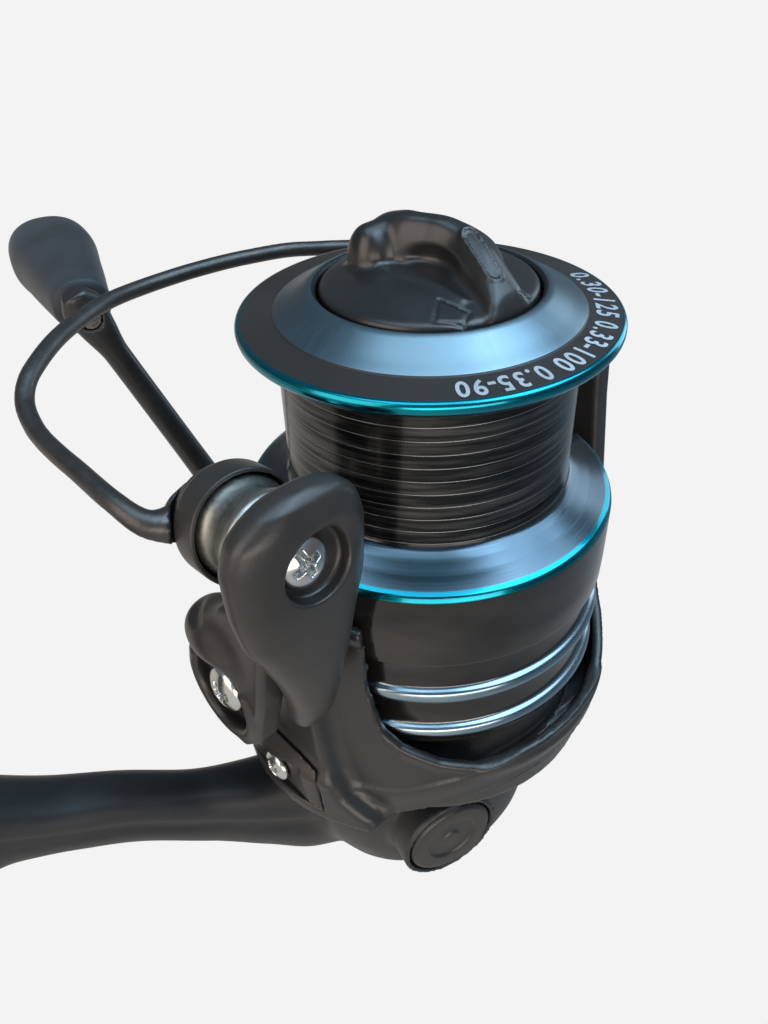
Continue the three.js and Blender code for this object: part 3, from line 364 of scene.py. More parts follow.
def turned(name, profile, place, materials, segments=128, sharp=32):
    """A solid of revolution about Z from corners of (radius, height, edge radius, finish)."""
    points, finishes = rounded_profile(profile)
    area = sum(a[0] * b[1] - b[0] * a[1] for a, b in zip(points, np.roll(points, -1, 0)))
    if area < 0:
        points, finishes = points[::-1], finishes[::-1][1:] + finishes[::-1][:1]
    angle = np.linspace(0, 2 * math.pi, segments, endpoint=False)
    vertices, rings = [], []
    for r, z in points:
        if r < 1e-6:
            rings.append([len(vertices)] * segments)
            vertices.append((0, 0, z))
        else:
            rings.append(list(range(len(vertices), len(vertices) + segments)))
            vertices.extend(zip(r * np.cos(angle), r * np.sin(angle), [z] * segments))
    faces, face_finish = [], []
    for i, ring in enumerate(rings):
        following = rings[(i + 1) % len(rings)]
        if ring[0] == ring[-1] and following[0] == following[-1]:
            continue
        for k in range(segments):
            j = (k + 1) % segments
            face = [ring[k], ring[j], following[j], following[k]]
            faces.append(list(dict.fromkeys(face)))
            face_finish.append(finishes[i])
    return make_piece(name, vertices, faces, place, materials, face_finish, sharp)


def smooth_line(path, run, fine):
    """A Catmull-Rom line through points, by distance."""
    slope = np.zeros_like(path)
    slope[1:-1] = (path[2:] - path[:-2]) / (run[2:] - run[:-2])[:, None]
    slope[0], slope[-1] = (path[1] - path[0]) / run[1], (path[-1] - path[-2]) / (run[-1] - run[-2])
    i = np.clip(np.searchsorted(run, fine) - 1, 0, len(run) - 2)
    step = (run[i + 1] - run[i])[:, None]
    t = (fine - run[i])[:, None] / step
    return between(t, step, path[i], slope[i], path[i + 1], slope[i + 1])


# ---- Shaders ----
class Value:
    """A number from a shader node, ready to be used in sums."""

    def __init__(self, look, socket):
        self.look = look
        self.socket = socket

    def maths(self, operation, first, second):
        return self.look.node("ShaderNodeMath", [first, second], operation=operation)

    def __add__(self, other):
        return self.maths("ADD", self, other)

    def __radd__(self, other):
        return self.maths("ADD", other, self)

    def __sub__(self, other):
        return self.maths("SUBTRACT", self, other)

    def __rsub__(self, other):
        return self.maths("SUBTRACT", other, self)

    def __mul__(self, other):
        return self.maths("MULTIPLY", self, other)

    def __rmul__(self, other):
        return self.maths("MULTIPLY", other, self)

    def __truediv__(self, other):
        return self.maths("DIVIDE", self, other)

    def __rtruediv__(self, other):
        return self.maths("DIVIDE", other, self)


class Look:
    """One procedural material."""

    def __init__(self, name):
        self.material = bpy.data.materials.new(name)
        self.material.use_nodes = True
        self.tree = self.material.node_tree
        self.surface = self.tree.nodes["Principled BSDF"]

    def node(self, kind, inputs=(), output=0, **settings):
        made = self.tree.nodes.new(kind)
        for key, value in settings.items():
            setattr(made, key, value)
        pairs = inputs.items() if isinstance(inputs, dict) else enumerate(inputs)
        for key, value in pairs:
            self.feed(made.inputs[key], value)
        return Value(self, made.outputs[output])

    def feed(self, socket, value):
        if isinstance(value, Value):
            self.tree.links.new(value.socket, socket)
        else:
            socket.default_value = value

    def set(self, **values):
        for key, value in values.items():
            name = key.replace("_", " ").title().replace("Ior", "IOR")
            if name == "Base Color" and isinstance(value, tuple):
                value = (*value[:3], 1)
            self.feed(self.surface.inputs[name], value)
        return self

    def mix(self, low, high, share):
        ends = [(*end, 1) if isinstance(end, tuple) and len(end) == 3 else end for end in (low, high)]
        return self.node("ShaderNodeMix", {0: share, 6: ends[0], 7: ends[1]}, 2, data_type="RGBA")

    def place(self):
        """Position in millimetres from the lip's centre."""
        where = self.node("ShaderNodeTexCoord", output="Object")
        moved = self.vector("SUBTRACT", where, tuple(HOME))
        return self.vector("MULTIPLY", moved, (1000, 1000, 1000))

    def vector(self, operation, first, second):
        return self.node("ShaderNodeVectorMath", [first, second], operation=operation)

    def split(self, vector):
        made = self.tree.nodes.new("ShaderNodeSeparateXYZ")
        self.feed(made.inputs[0], vector)
        return [Value(self, made.outputs[k]) for k in range(3)]

    def join(self, x, y, z):
        return self.node("ShaderNodeCombineXYZ", [x, y, z])

    def noise(self, where, scale, detail=2.0, rough=0.5):
        return self.node(
            "ShaderNodeTexNoise", {"Vector": where, "Scale": scale, "Detail": detail, "Roughness": rough}
        )

    def ramp(self, value, low, high, out_low=0.0, out_high=1.0):
        return self.node("ShaderNodeMapRange", [value, low, high, out_low, out_high], clamp=True)

    def bump(self, height, depth):
        """Height from 0 to 1, depth in millimetres."""
        return self.node(
            "ShaderNodeBump", {"Strength": 1.0, "Distance": depth * MM, "Height": height}, output="Normal"
        )

    def turned_place(self, spread):
        """Coordinates that run round the spool's axis without a seam: (cosine, sine, radius, height)."""
        x, y, z = self.split(self.place())
        radius = self.node("ShaderNodeMath", [x * x + y * y, 0.5], operation="POWER")
        return x / radius * spread, y / radius * spread, radius, z


def moulded(name, colour, roughness=0.42, grain=0.022, coat=0.0, specular=0.5):
    """Moulded plastic: a fine spark-eroded grain, slow changes of gloss, and a little flow mottling."""
    look = Look(name)
    where = look.place()
    fine = look.noise(where, 3.2, 3.0, 0.6)
    slow = look.noise(where, 0.11, 3.0, 0.55)
    speck = look.noise(where, 1.1, 2.0, 0.5)
    paler = tuple(1.35 * c + 0.002 for c in colour)
    look.set(
        base_color=look.mix(colour, paler, look.ramp(slow, 0.35, 0.7)),
        roughness=look.ramp(slow + speck * 0.35, 0.4, 0.95, roughness - 0.05, roughness + 0.09),
        normal=look.bump(fine, grain),
        specular_ior_level=specular,
    )
    if coat:
        look.set(coat_weight=coat, coat_roughness=0.16)
    return look.material


def brushed_cone(name, colour, second):
    """Satin metal turned then brushed outwards: soft rays crossed by faint lathe lines."""
    look = Look(name)
    across, along, radius, height = look.turned_place(9.0)
    rays = look.noise(look.join(across, along, radius * 0.12), 3.4, 4.0, 0.65)
    broad = look.noise(look.join(across * 0.16, along * 0.16, 0.0), 1.0, 1.5, 0.5)
    lathe = look.noise(look.join(across * 0.02, along * 0.02, radius * 9.0), 1.0, 2.0, 0.5)
    look.set(
        base_color=look.mix(colour, second, look.ramp(rays * 0.25 + broad * 0.75, 0.3, 0.7)),
        metallic=1.0,
        roughness=look.ramp(rays, 0.3, 0.75, 0.3, 0.38),
        normal=look.bump(rays * 0.3 + lathe * 0.7, 0.0016),
    )
    return look.material


def lathed(name, colour, second, roughness, depth=0.004, metallic=1.0, pitch=7.0, coat=0.0):
    """Turned metal with fine rings round the spool's axis."""
    look = Look(name)
    across, along, radius, height = look.turned_place(1.0)
    rings = look.noise(look.join(across * 0.05, along * 0.05, (radius + height) * pitch), 1.0, 3.0, 0.6)
    slow = look.noise(look.join(across, along, height * 0.1), 1.6, 2.0, 0.5)
    look.set(
        base_color=look.mix(colour, second, look.ramp(slow, 0.36, 0.66)),
        metallic=metallic,
        roughness=look.ramp(rings, 0.3, 0.75, roughness * 0.75, roughness * 1.3),
        normal=look.bump(rings, depth),
    )
    if coat:
        look.set(coat_weight=coat, coat_roughness=0.05)
    return look.material


RING_PITCH = 1.83


def lined_arbor(name):
    """Black gloss with thin pale rings every couple of millimetres."""
    look = Look(name)
    across, along, radius, height = look.turned_place(1.0)
    step = look.node("ShaderNodeMath", [height / -RING_PITCH], operation="FRACT")
    line = look.ramp(step, 0.03, 0.06, 1.0, 0.0)
    smear = look.noise(look.join(across * 0.7, along * 0.7, height * 0.7), 2.0, 3.0, 0.6)
    look.set(
        base_color=look.mix(
            look.mix((0.022, 0.023, 0.024), (0.11, 0.105, 0.1), look.ramp(smear, 0.42, 0.66)),
            (0.34, 0.37, 0.39),
            line * 0.75,
        ),
        metallic=0.85,
        roughness=look.ramp(smear, 0.3, 0.7, 0.13, 0.24) + line * 0.15,
        normal=look.bump(line, -0.02),
    )
    return look.material


def metal(name, colour, roughness, scratch=0.003, metallic=1.0):
    """Plated or drawn metal with faint wipe marks."""
    look = Look(name)
    where = look.place()
    marks = look.noise(look.vector("MULTIPLY", where, (0.6, 0.6, 5.0)), 1.6, 4.0, 0.65)
    cloud = look.noise(where, 0.35, 2.0, 0.5)
    look.set(
        base_color=look.mix(colour, tuple(c * 0.8 for c in colour), look.ramp(cloud, 0.35, 0.7)),
        metallic=metallic,
        roughness=look.ramp(marks, 0.3, 0.75, roughness * 0.8, roughness * 1.35),
        normal=look.bump(marks, scratch),
    )
    return look.material


def soft_touch(name, colour, roughness):
    """Rubber: a close pebble grain and a slight bloom."""
    look = Look(name)
    where = look.place()
    cells = look.node("ShaderNodeTexVoronoi", {"Vector": where, "Scale": 2.4}, output="Distance")
    slow = look.noise(where, 0.14, 3.0, 0.55)
    look.set(
        base_color=look.mix(colour, tuple(c * 1.6 + 0.003 for c in colour), look.ramp(slow, 0.35, 0.7)),
        roughness=look.ramp(slow, 0.3, 0.7, roughness - 0.05, roughness + 0.06),
        normal=look.bump(cells, 0.015),
        sheen_weight=0.12,
        sheen_roughness=0.5,
    )
    return look.material


def pressed_felt(name, colour):
    """Oiled felt: matted fibres."""
    look = Look(name)
    where = look.place()
    fibres = look.noise(look.vector("MULTIPLY", where, (3.0, 3.0, 9.0)), 1.5, 5.0, 0.7)
    look.set(
        base_color=look.mix(colour, tuple(c * 1.7 for c in colour), look.ramp(fibres, 0.35, 0.7)),
        roughness=0.92,
        normal=look.bump(fibres, 0.08),
        sheen_weight=0.3,
    )
    return look.material


def make_looks(colours):
    """Every finish, by the name of its slot or surface."""
    plastic, rotor, cone, ring, grip = (
        tuple(getattr(colours, key)) for key in ("plastic", "rotor", "cone", "ring", "grip")
    )
    looks = {}

    def add(maker, name, *values, **more):
        looks[name] = maker(name, *values, **more)

    add(moulded, "graphite_plastic", plastic, 0.35, 0.02, specular=0.6)
    add(moulded, "rotor_plastic", rotor, 0.33, 0.012, specular=0.6)
    add(moulded, "knob_plastic", (0.011, 0.0108, 0.011), 0.33, 0.009, 0.1, 0.6)
    add(moulded, "foot_plastic", (0.014, 0.0145, 0.016), 0.42, 0.016, specular=0.6)
    add(metal, "bail_wire_metal", (0.085, 0.08, 0.077), 0.36, metallic=0.75)
    add(metal, "roller_chrome", (0.5, 0.5, 0.46), 0.36, 0.006)
    add(metal, "screw_chrome", (0.72, 0.72, 0.71), 0.2)
    add(metal, "steel", (0.5, 0.5, 0.49), 0.28, 0.004)
    add(metal, "brass", (0.66, 0.43, 0.15), 0.27, 0.005)
    add(moulded, "nylon", (0.62, 0.6, 0.54), 0.45, 0.01)
    add(soft_touch, "grip_rubber", grip, 0.52)
    add(soft_touch, "seal_rubber", (0.008, 0.008, 0.008), 0.6)
    add(pressed_felt, "felt", (0.05, 0.035, 0.022))
    add(brushed_cone, "spool_metal", cone, (0.2, 0.285, 0.335))
    add(lathed, "lip_ring", (0.02, 0.017, 0.015), (0.03, 0.026, 0.023), 0.46, 0.002, 0.0)
    add(lathed, "teal", ring, (0.0, 0.33, 0.42), 0.2, 0.002, pitch=3.0, coat=0.3)
    add(lined_arbor, "arbor")
    add(lathed, "flange", (0.07, 0.1, 0.125), (0.12, 0.165, 0.2), 0.22, 0.0015, pitch=5.0)
    add(lathed, "skirt_gloss", (0.03, 0.028, 0.027), (0.07, 0.064, 0.06), 0.15, 0.001, 0.75, coat=0.4)
    add(lathed, "ridge", (0.26, 0.36, 0.43), (0.42, 0.53, 0.6), 0.22, 0.003, pitch=4.0)
    add(lathed, "spool_inside", (0.011, 0.0125, 0.015), (0.03, 0.032, 0.036), 0.45, 0.004, 0.6)
    add(moulded, "capacity_print", (0.36, 0.4, 0.44), 0.5, 0.002)
    return looks


LOOKS = {}


# ---- Pieces ----
class SpoolSizes(bpy.types.PropertyGroup):
    numerals: bpy.props.BoolProperty(
        name="Capacity marks", description="Print the line capacities on the lip", default=True,
    )
    rounding: bpy.props.FloatProperty(
        name="Edge rounding", description="Radius of the turned edges, in millimetres",
        default=0.3, min=0.02, max=0.5,
    )


class PlasticSizes(bpy.types.PropertyGroup):
    fineness: bpy.props.FloatProperty(
        name="Surface step", description="Spacing of the handle arm's vertices, in millimetres; finer or "
        "larger pieces keep their share of it", default=0.5, min=0.3, max=2.0,
    )
    fillet: bpy.props.FloatProperty(
        name="Fillet", description="How far the large moulded forms run into each other, in millimetres",
        default=2.0, min=0.3, max=5.0,
    )


def tint(name, description, default):
    return bpy.props.FloatVectorProperty(
        name=name, description=description, default=default, size=3, min=0.0, max=1.0, subtype="COLOR"
    )


class FinishColours(bpy.types.PropertyGroup):
    plastic: tint("Plastic", "Graphite plastic of the bail arm and the covers", (0.021, 0.0185, 0.0165))
    rotor: tint("Rotor", "Plastic of the rotor", (0.018, 0.017, 0.0165))
    cone: tint("Spool", "Brushed metal of the spool's front", (0.16, 0.23, 0.27))
    ring: tint("Rings", "Coloured rings at the spool's edges", (0.0, 0.22, 0.3))
    grip: tint("Grip", "Rubber of the handle's knob", (0.011, 0.0135, 0.018))


def node_box(node):
    """A node's corners in millimetres from the lip's centre, along the row's axes."""
    low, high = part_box(node)
    home = np.array(HOME)
    return (np.array(low) - home) / MM, (np.array(high) - home) / MM


def build_spool(sizes):
    e = sizes.rounding
    inside, cone, lip, teal, arbor, flange, gloss, ridge = range(8)
    names = ("spool_inside", "spool_metal", "lip_ring", "teal", "arbor", "flange", "skirt_gloss", "ridge")
    finishes = [LOOKS[name] for name in names]
    rim = RECESS_R - 0.4
    profile = [
        (SHAFT_BORE, WELL_Z, 0, inside),
        (WELL_R, WELL_Z, 0, inside),
        (WELL_R, -1.2, e, inside),
        (rim, -1.2, 0, inside),
        (rim, RECESS_RISE - 0.45, 0.25, inside),
        (RECESS_R + 0.1, RECESS_RISE, 0.3, cone),
        (15.0, 3.32, 0.6, cone),
        (17.6, 1.72, 1.2, cone),
        (19.2, 0.9, 0.2, lip),
        (LIP_INNER_R, LIP_RISE, 0.1, lip),
        (23.3, 0.24, 0.2, teal),
        (23.75, 0.1, 0.4, teal),
        (LIP_R, -0.4, 0.4, teal),
        (LIP_R - 0.1, -1.15, 0.4, teal),
        (LIP_R - 1.2, -2.2, 0.8, teal),
        (ARBOR_R + 1.3, -3.1, 0.8, arbor),
        (ARBOR_R, Z_ARBOR - 0.3, 0.7, arbor),
        (ARBOR_R, Z_FLANGE + 1.0, 0.7, flange),
        (ARBOR_R + 1.2, Z_FLANGE + 0.2, 0.9, flange),
        (22.4, -24.15, 0.4, flange),
        (24.5, Z_SKIRT + 0.1, 0.25, teal),
        (SKIRT_R - 0.35, Z_SKIRT - 0.2, 0.2, teal),
        (SKIRT_R, Z_SKIRT - 0.95, 0.25, gloss),
        (SKIRT_R, -33.6, 0.15, gloss),
        (SKIRT_R - 0.1, -37.1, 0.3, gloss),
    ]
    for z in (Z_SKIRT_END + 10.4, Z_SKIRT_END + 3.2):
        profile += [
            (SKIRT_R - 1.1, z + 5.0, 0.4, gloss),
            (SKIRT_R - 1.1, z + 0.6, 0.4, ridge),
            (SKIRT_R - 0.25, z + 0.15, 0.35, ridge),
            (SKIRT_R, z - 0.7, 0.3, ridge),
            (SKIRT_R - 0.15, z - 1.45, 0.3, teal),
            (SKIRT_R - 0.5, z - 1.8, 0.2, gloss),
        ]
    profile += [
        (SKIRT_R - 0.7, Z_SKIRT_END + 0.5, 0.2, gloss),
        (SKIRT_R - 0.9, Z_SKIRT_END, 0.2, inside),
        (SKIRT_R - SKIRT_WALL, Z_SKIRT_END, 0.2, inside),
        (SKIRT_R - SKIRT_WALL, Z_SKIRT - 2, 0.5, inside),
        (ARBOR_R - 1.6, Z_SKIRT - 0.8, 0, inside),
        (ARBOR_R - 1.6, WELL_Z - 2.4, 0.5, inside),
        (SHAFT_BORE + 3.4, WELL_Z - 2.4, 0.3, inside),
        (SHAFT_BORE + 3.4, Z_FLANGE + 2, 0, inside),
        (SHAFT_BORE, Z_FLANGE + 2, 0, inside),
    ]
    piece = turned("spool_turned", profile, STAND, finishes, 256)
    fit(piece, "spool_unit", "spool_metal", "spool")
    if sizes.numerals:
        fit(lip_marks(), "spool_unit", "spool_metal")


MARKS = (("0.30-125", -3, -41), ("0.33-100", -44, -80), ("0.35-90", -83, -113))  # words, headings
PRINT_R, PRINT_TALL, PRINT_WIDEST, PRINT_RISE = 20.3, 3.7, 4.2, 0.035
PRINT_MIDDLE_R, DIGIT_WIDE = 22.0, 0.62


def lip_marks():
    """Line diameters and lengths round the lip, tops outwards, read clockwise from above."""
    vertices, faces = [], []
    for words, start, end in MARKS:
        widths = [0.55 if letter in ".-" else 1.0 for letter in words]
        turn = (end - start) / sum(widths)
        heading = start
        for letter, width in zip(words, widths):
            flat, loops = glyph(letter)
            centre = math.radians(heading + turn * width / 2)
            heading += turn * width
            wide = min(abs(math.radians(turn)) * PRINT_MIDDLE_R / DIGIT_WIDE, PRINT_WIDEST)
            up = np.array((math.cos(centre), math.sin(centre)))
            right = np.array((math.sin(centre), -math.cos(centre)))
            offset = len(vertices)
            for x, y in flat:
                at = up * (PRINT_R + y * PRINT_TALL) + right * x * wide
                fall = (math.hypot(*at) - LIP_INNER_R) * LIP_SLOPE
                vertices.append((at[0], at[1], LIP_RISE - fall + PRINT_RISE))
            faces += [[offset + k for k in loop] for loop in loops]
    return make_piece("capacity_marks", vertices, faces, STAND, LOOKS["capacity_print"])


def glyph(letter):
    """A letter's flat faces, one unit tall line height, centred on its width."""
    text = bpy.data.curves.new("mark", "FONT")
    text.body = letter
    text.align_x = "CENTER"
    text.resolution_u = 5
    text.offset = 0.022
    holder = bpy.data.objects.new("mark", text)
    bpy.context.scene.collection.objects.link(holder)
    mesh = bpy.data.meshes.new_from_object(holder.evaluated_get(bpy.context.evaluated_depsgraph_get()))
    flat = [(v.co.x, v.co.y) for v in mesh.vertices]
    loops = [list(p.vertices) for p in mesh.polygons]
    bpy.data.objects.remove(holder)
    bpy.data.curves.remove(text)
    bpy.data.meshes.remove(mesh)
    middle = (min(x for x, y in flat) + max(x for x, y in flat)) / 2
    return [(x - middle, y) for x, y in flat], loops


def line_mark(distance, width, depth):
    """A shallow groove (positive depth) or bead (negative) along the zero of a distance."""
    return depth * np.exp(-((distance / width) ** 2))


def build_drag_knob(sizes):
    cavity = node_box("drag_nut")[1][2] + 0.35
    stations = [
        (-11.4, 0.6, 3.4, 1.2, 2.0), (-10.6, 0.6, 3.5, 2.5, 3.7), (-9, 0.4, 3.6, 3.0, 5.6),
        (-6.5, 0.0, 3.6, 3.1, 6.8), (-3.5, 0.3, 3.6, 2.8, 7.4), (0, 1.6, 3.6, 2.6, 7.4),
        (3.5, 2.3, 3.6, 2.6, 6.8), (7, 1.9, 3.5, 2.8, 5.6), (10, 1.0, 3.4, 3.0, 4.0),
        (12.4, 0.2, 3.4, 3.1, 2.3), (13.3, 0, 3.3, 2.8, 1.1),
    ]
    foot_stations = [
        (-4.6, -4.6, 4.4, 0.4, 0.7), (-2.0, -4.6, 4.4, 0.7, 0.9), (1, -4.0, 4.4, 0.7, 0.9),
        (5, -3.2, 4.3, 0.6, 0.8), (9, -3.2, 4.1, 0.4, 0.6),
    ]

    def field(p):
        x, y, z = p.T
        r = np.hypot(x, y)
        top = RECESS_RISE + 0.35 + 1.75 * (1 - np.minimum(r / 12.6, 1.1) ** 2)
        disc = overlap(np.maximum(z - top, 0.3 - z), r - (RECESS_R - 0.75), 0.9)
        wing = swept(x, y, z, stations, 2.5)
        far = ball(p, (2.4, 4.7, 5.2), (5.0, 2.4, 3.9))
        near = ball(p, (-7.0, -3.3, 4.9), (3.1, 2.7, 4.7))
        wing = fuse(1.3, wing, far, near)
        wing = carve(wing, ball(p, (2.2, -3.9, 6.4), (4.9, 4.4, 3.2)), 0.4)
        wing = carve(wing, ball(p, (-5.8, 5.6, 6.6), (4.6, 3.7, 3.0)), 0.7)
        whole = fuse(0.9, disc, wing, swept(x, y, z, foot_stations, 2))
        slot = np.hypot(x - np.clip(x, 5.0, 10.2), y - np.interp(x, (5.0, 10.2), (1.6, 0.2))) - 0.95
        whole = whole + np.where(z > 5.0, line_mark(slot, 0.22, -0.2), 0)
        tab_near = outline(x, y, [(6.8, -5.0), (9.4, -8.2), (11.7, -6.0), (10.8, -4.2)])
        tab_far = outline(x, y, [(9.6, 3.2), (10.2, 4.2), (12.0, 4.4), (12.3, 1.9)])
        tabs = line_mark(tab_near, 0.2, 0.22) + line_mark(tab_far, 0.2, 0.22)
        whole = whole + np.where(z < 5.4, tabs, 0)
        return carve(whole, np.maximum(r - 5.2, z - cavity), 0.15)

    piece = sculpted("drag_knob_moulding", field, (-15, -15, -0.6), (15, 15, 12.6), 0.54 * sizes.fineness,
                     WING, LOOKS["knob_plastic"])
    fit(piece, "knob_unit", "knob_plastic", "drag_knob")


def club_field(p):
    """The rounded head that carries the line roller, and its tail in front of the arm."""
    x, y, z = p.T
    stations = [
        (z0 + Z_PIVOT, x0, y0, hx, hy) for x0, y0, z0, hx, hy in (
            (33.4, 15.8, 38.7, 1.9, 1.1), (33.5, 15.7, 37.6, 5.0, 2.2), (33.8, 15.5, 35, 7.6, 3.0),
            (33.9, 15.3, 31.5, 8.4, 3.3), (33.9, 15.2, 27, 8.2, 3.3), (33.9, 15, 22, 7.3, 3.1),
            (33.3, 14.6, 17, 5.8, 2.9), (32.5, 13.7, 11, 4.2, 2.8), (32.0, 12.3, 5, 3.0, 2.6),
            (31.8, 11.2, 1.2, 2.4, 2.1), (31.7, 10.6, -0.6, 1.2, 1.1),
        )
    ]
    return swept(z, x, y, stations, 2.5)


def build_bail_arm(sizes):
    lever_outline = [(-8, -3), (-8, 3), (-5.2, 8.5), (-2.2, 13.0), (2.6, 17.0), (7, 19), (11, 20),
                     (11.5, 14), (9.5, 4), (7, -5), (4, -8.2), (0, -8.6), (-6, -7)]

    def field(p):
        x, y, z = p.T
        rise = z - Z_PIVOT
        rho = np.hypot(y, rise)
        lever = thick(outline(y, rise, lever_outline) + 0.4, x, LEVER_X, LEVER_X + 4.1, 0.9)
        nose = fuse(
            1.6,
            ball(p, (LEVER_X + 1.6, 0.2, Z_PIVOT + 10.2), (2.6, 4.7, 4.3)),
            ball(p, (LEVER_X + 3.3, -0.5, Z_PIVOT + 9.6), (2.9, 4.5, 3.9)),
        )
        nose = carve(nose, ball(p, (LEVER_X + 5.0, -1.6, Z_PIVOT + 13.4), (2.4, 2.0, 1.3)), 0.7)
        whole = fuse(sizes.fillet, lever, nose)
        hollow = rod(p, (LEVER_X + 1.8, 0, Z_PIVOT), (LEVER_X + 12, 0, Z_PIVOT), 5.9, 0.7)
        whole = carve(whole, hollow, 0.5)
        lip = np.hypot(rho - 6.4, (x - LEVER_X - 3.7) * 0.9) - 0.75
        whole = fuse(0.6, whole, np.where(rise < 3.5, lip, np.maximum(lip, rise - 3.5)))
        whole = fuse(1.2, whole, club_field(p))
        q = local(p, IN_ROTOR @ ALONG_Y)
        side, up, along = q.T
        out = np.hypot(side, up)
        bowl = rod(q, (-0.9, 0.5, HEAD_OUT - 2.6), (-0.9, 0.5, HEAD_OUT + 9), 4.2, 0.5)
        crescent = ball(q, (-2.6, 0.6, HEAD_OUT + 1.1), (5.2, 4.4, 2.3))
        whole = carve(carve(whole, crescent, 0.7), bowl, 0.35)
        whole = carve(whole, out - 1.9, 0.1)
        clear = rod(q, (0, 0, -20), (0, 0, HEAD_IN - 0.05), CAP_R + 1.0, 0.2)
        whole = carve(whole, clear, 0.3)
        whole = carve(whole, np.maximum(rho - 1.9, LEVER_X - 2 - x), 0.1)
        whole = carve(whole, np.maximum(rho - (4.5 + GAP), x - LEVER_X), 0.15)
        floor = np.maximum(np.maximum(x - (ARM_OUT + GAP), rise - 13.5), -16 - rise)
        return carve(whole, floor, 0.2)

    piece = sculpted("bail_arm_moulding", field, (24.5, -9.5, Z_PIVOT - 10), (43.2, 20, Z_PIVOT + 40.5),
                     0.58 * sizes.fineness, ROTOR, LOOKS["graphite_plastic"])
    fit(piece, "bail", "graphite_plastic", "bail_arm")


def roller_turned(name, profile, finishes, body, slot, node):
    piece = turned(name, profile, ROLLER, finishes, 96)
    return fit(piece, body, slot, node)


def build_line_roller(sizes):
    half, r = ROLLER_HALF, ROLLER_R
    roller_turned("line_roller_turned", [
        (3.1, -half, 0, 0), (r - 0.3, -half, 0.2, 0), (r, -half + 0.5, 0.3, 0), (r, -half + 1.3, 0.5, 0),
        (r - 0.75, -0.9, 0.9, 0), (r - 0.85, 0.3, 0.9, 0), (r - 0.1, half - 1.5, 0.8, 0),
        (r, half - 0.5, 0.3, 0), (r - 0.3, half, 0.2, 0), (3.1, half, 0, 0),
    ], LOOKS["roller_chrome"], "roller", "roller_chrome", "line_roller")


WIRE_PATH = (
    (33.6, -0.5, -13.6), (35.9, 0.1, -13.2), (38.4, 0.3, -12.6), (41.6, -0.6, -11.4), (43.0, -4.4, -9.9),
    (43.4, -12, -9.2), (43.4, -16.6, -9.3), (43.1, -21.6, -9.6), (42.7, -25, -9.5), (41.9, -28.6, -8.6),
    (40.6, -31, -7.6), (38.6, -33.1, -6.7), (33.1, -37.9, -6), (27.2, -42.6, -6.3), (20.7, -46.3, -6.6),
    (12.7, -48.3, -7), (3.6, -48.2, -7), (-5.3, -47.1, -7.2), (-13.7, -44.4, -7.5), (-28.9, -34.7, -9.4),
    (-34.7, -21.2, -13.4), (-34.8, -11.4, -16.4), (-35.1, -7.6, -17.2),
)
WIRE_ROOT = [4.3, 3.8, 2.4, 1.55, 1.25]
WIRE_POINTS = 170


def build_bail_wire(sizes):
    path = np.array(WIRE_PATH, float)
    run = np.concatenate([[0], np.cumsum(np.linalg.norm(np.diff(path, axis=0), axis=1))])
    fine = np.linspace(0, run[-1], WIRE_POINTS)
    centre = smooth_line(path, run, fine)
    radius = curve(fine, run, WIRE_ROOT + [WIRE_R] * (len(path) - len(WIRE_ROOT)))

    def wire(p):
        best = np.full(len(p), 1e9)
        for a, b, ra, rb in zip(centre, centre[1:], radius, radius[1:]):
            edge = b - a
            share = np.clip((p - a) @ edge / (edge @ edge), 0, 1)
            gap = np.linalg.norm(p - a - share[:, None] * edge, axis=1) - (ra + (rb - ra) * share)
            best = np.minimum(best, gap)
        return best

    def cap(p):
        q = local(p, IN_ROTOR @ ALONG_Y)
        low = -ROLLER_HALF - GAP
        corners = [(0, low - CAP_LONG - GAP), (4.3 + GAP, low - CAP_LONG - GAP), (6.1 + GAP, low - 3.7),
                   (CAP_R + GAP, low - 1.7), (CAP_R + GAP, HEAD_IN), (0, HEAD_IN)]
        return outline(np.hypot(q[:, 0], q[:, 1]), q[:, 2], corners)

    def field(p):
        return carve(wire(p), cap(p), 0.15)

    piece = sculpted("bail_wire_drawn", field, (-38.5, -51, -20), (46.5, 7.5, 1.5), 0.8 * sizes.fineness,
                     ROTOR, LOOKS["bail_wire_metal"])
    fit(piece, "bail", "bail_wire_metal", "bail_wire")


def build_bail_cap(sizes):
    low = -ROLLER_HALF - GAP
    r = CAP_R - 0.05
    roller_turned("bail_cap_turned", [
        (0, low - CAP_LONG, 0, 0), (4.3, low - CAP_LONG, 0.6, 0), (6.0, low - 3.7, 0.8, 0),
        (6.1, low - 2.6, 0.5, 0), (r, low - 1.7, 0.5, 0), (r, low + 2.4, 0.45, 0), (6.35, low + 2.4, 0.15, 0),
        (6.2, low, 0.1, 0), (0, low, 0, 0),
    ], LOOKS["graphite_plastic"], "bail", "graphite_plastic", "bail_cap")


COVER_EDGE = [(-7.6, -56.8), (7.6, -56.8), (8.2, -60), (8.8, -65.4), (-8.8, -65.4), (-8.2, -60)]
COVER_NOTCH = [
    (5.0, -58.9), (5.6, -62), (7.0, -67), (-14, -68), (-14, -65.2), (-6.5, -63.2), (-1.5, -60.4), (2, -59.3),
]
BOWL_R = 27.1
COVER_SCREW_Z = -62.5


def foot_face(y, z):
    """How far out an arm stands: flat beside the bail, then flared towards its foot."""
    flare = np.clip((-55.6 - z) / 4.4, 0, 1)
    return ARM_OUT + 2.6 * flare**2 * (3 - 2 * flare) - 0.022 * y**2 * flare


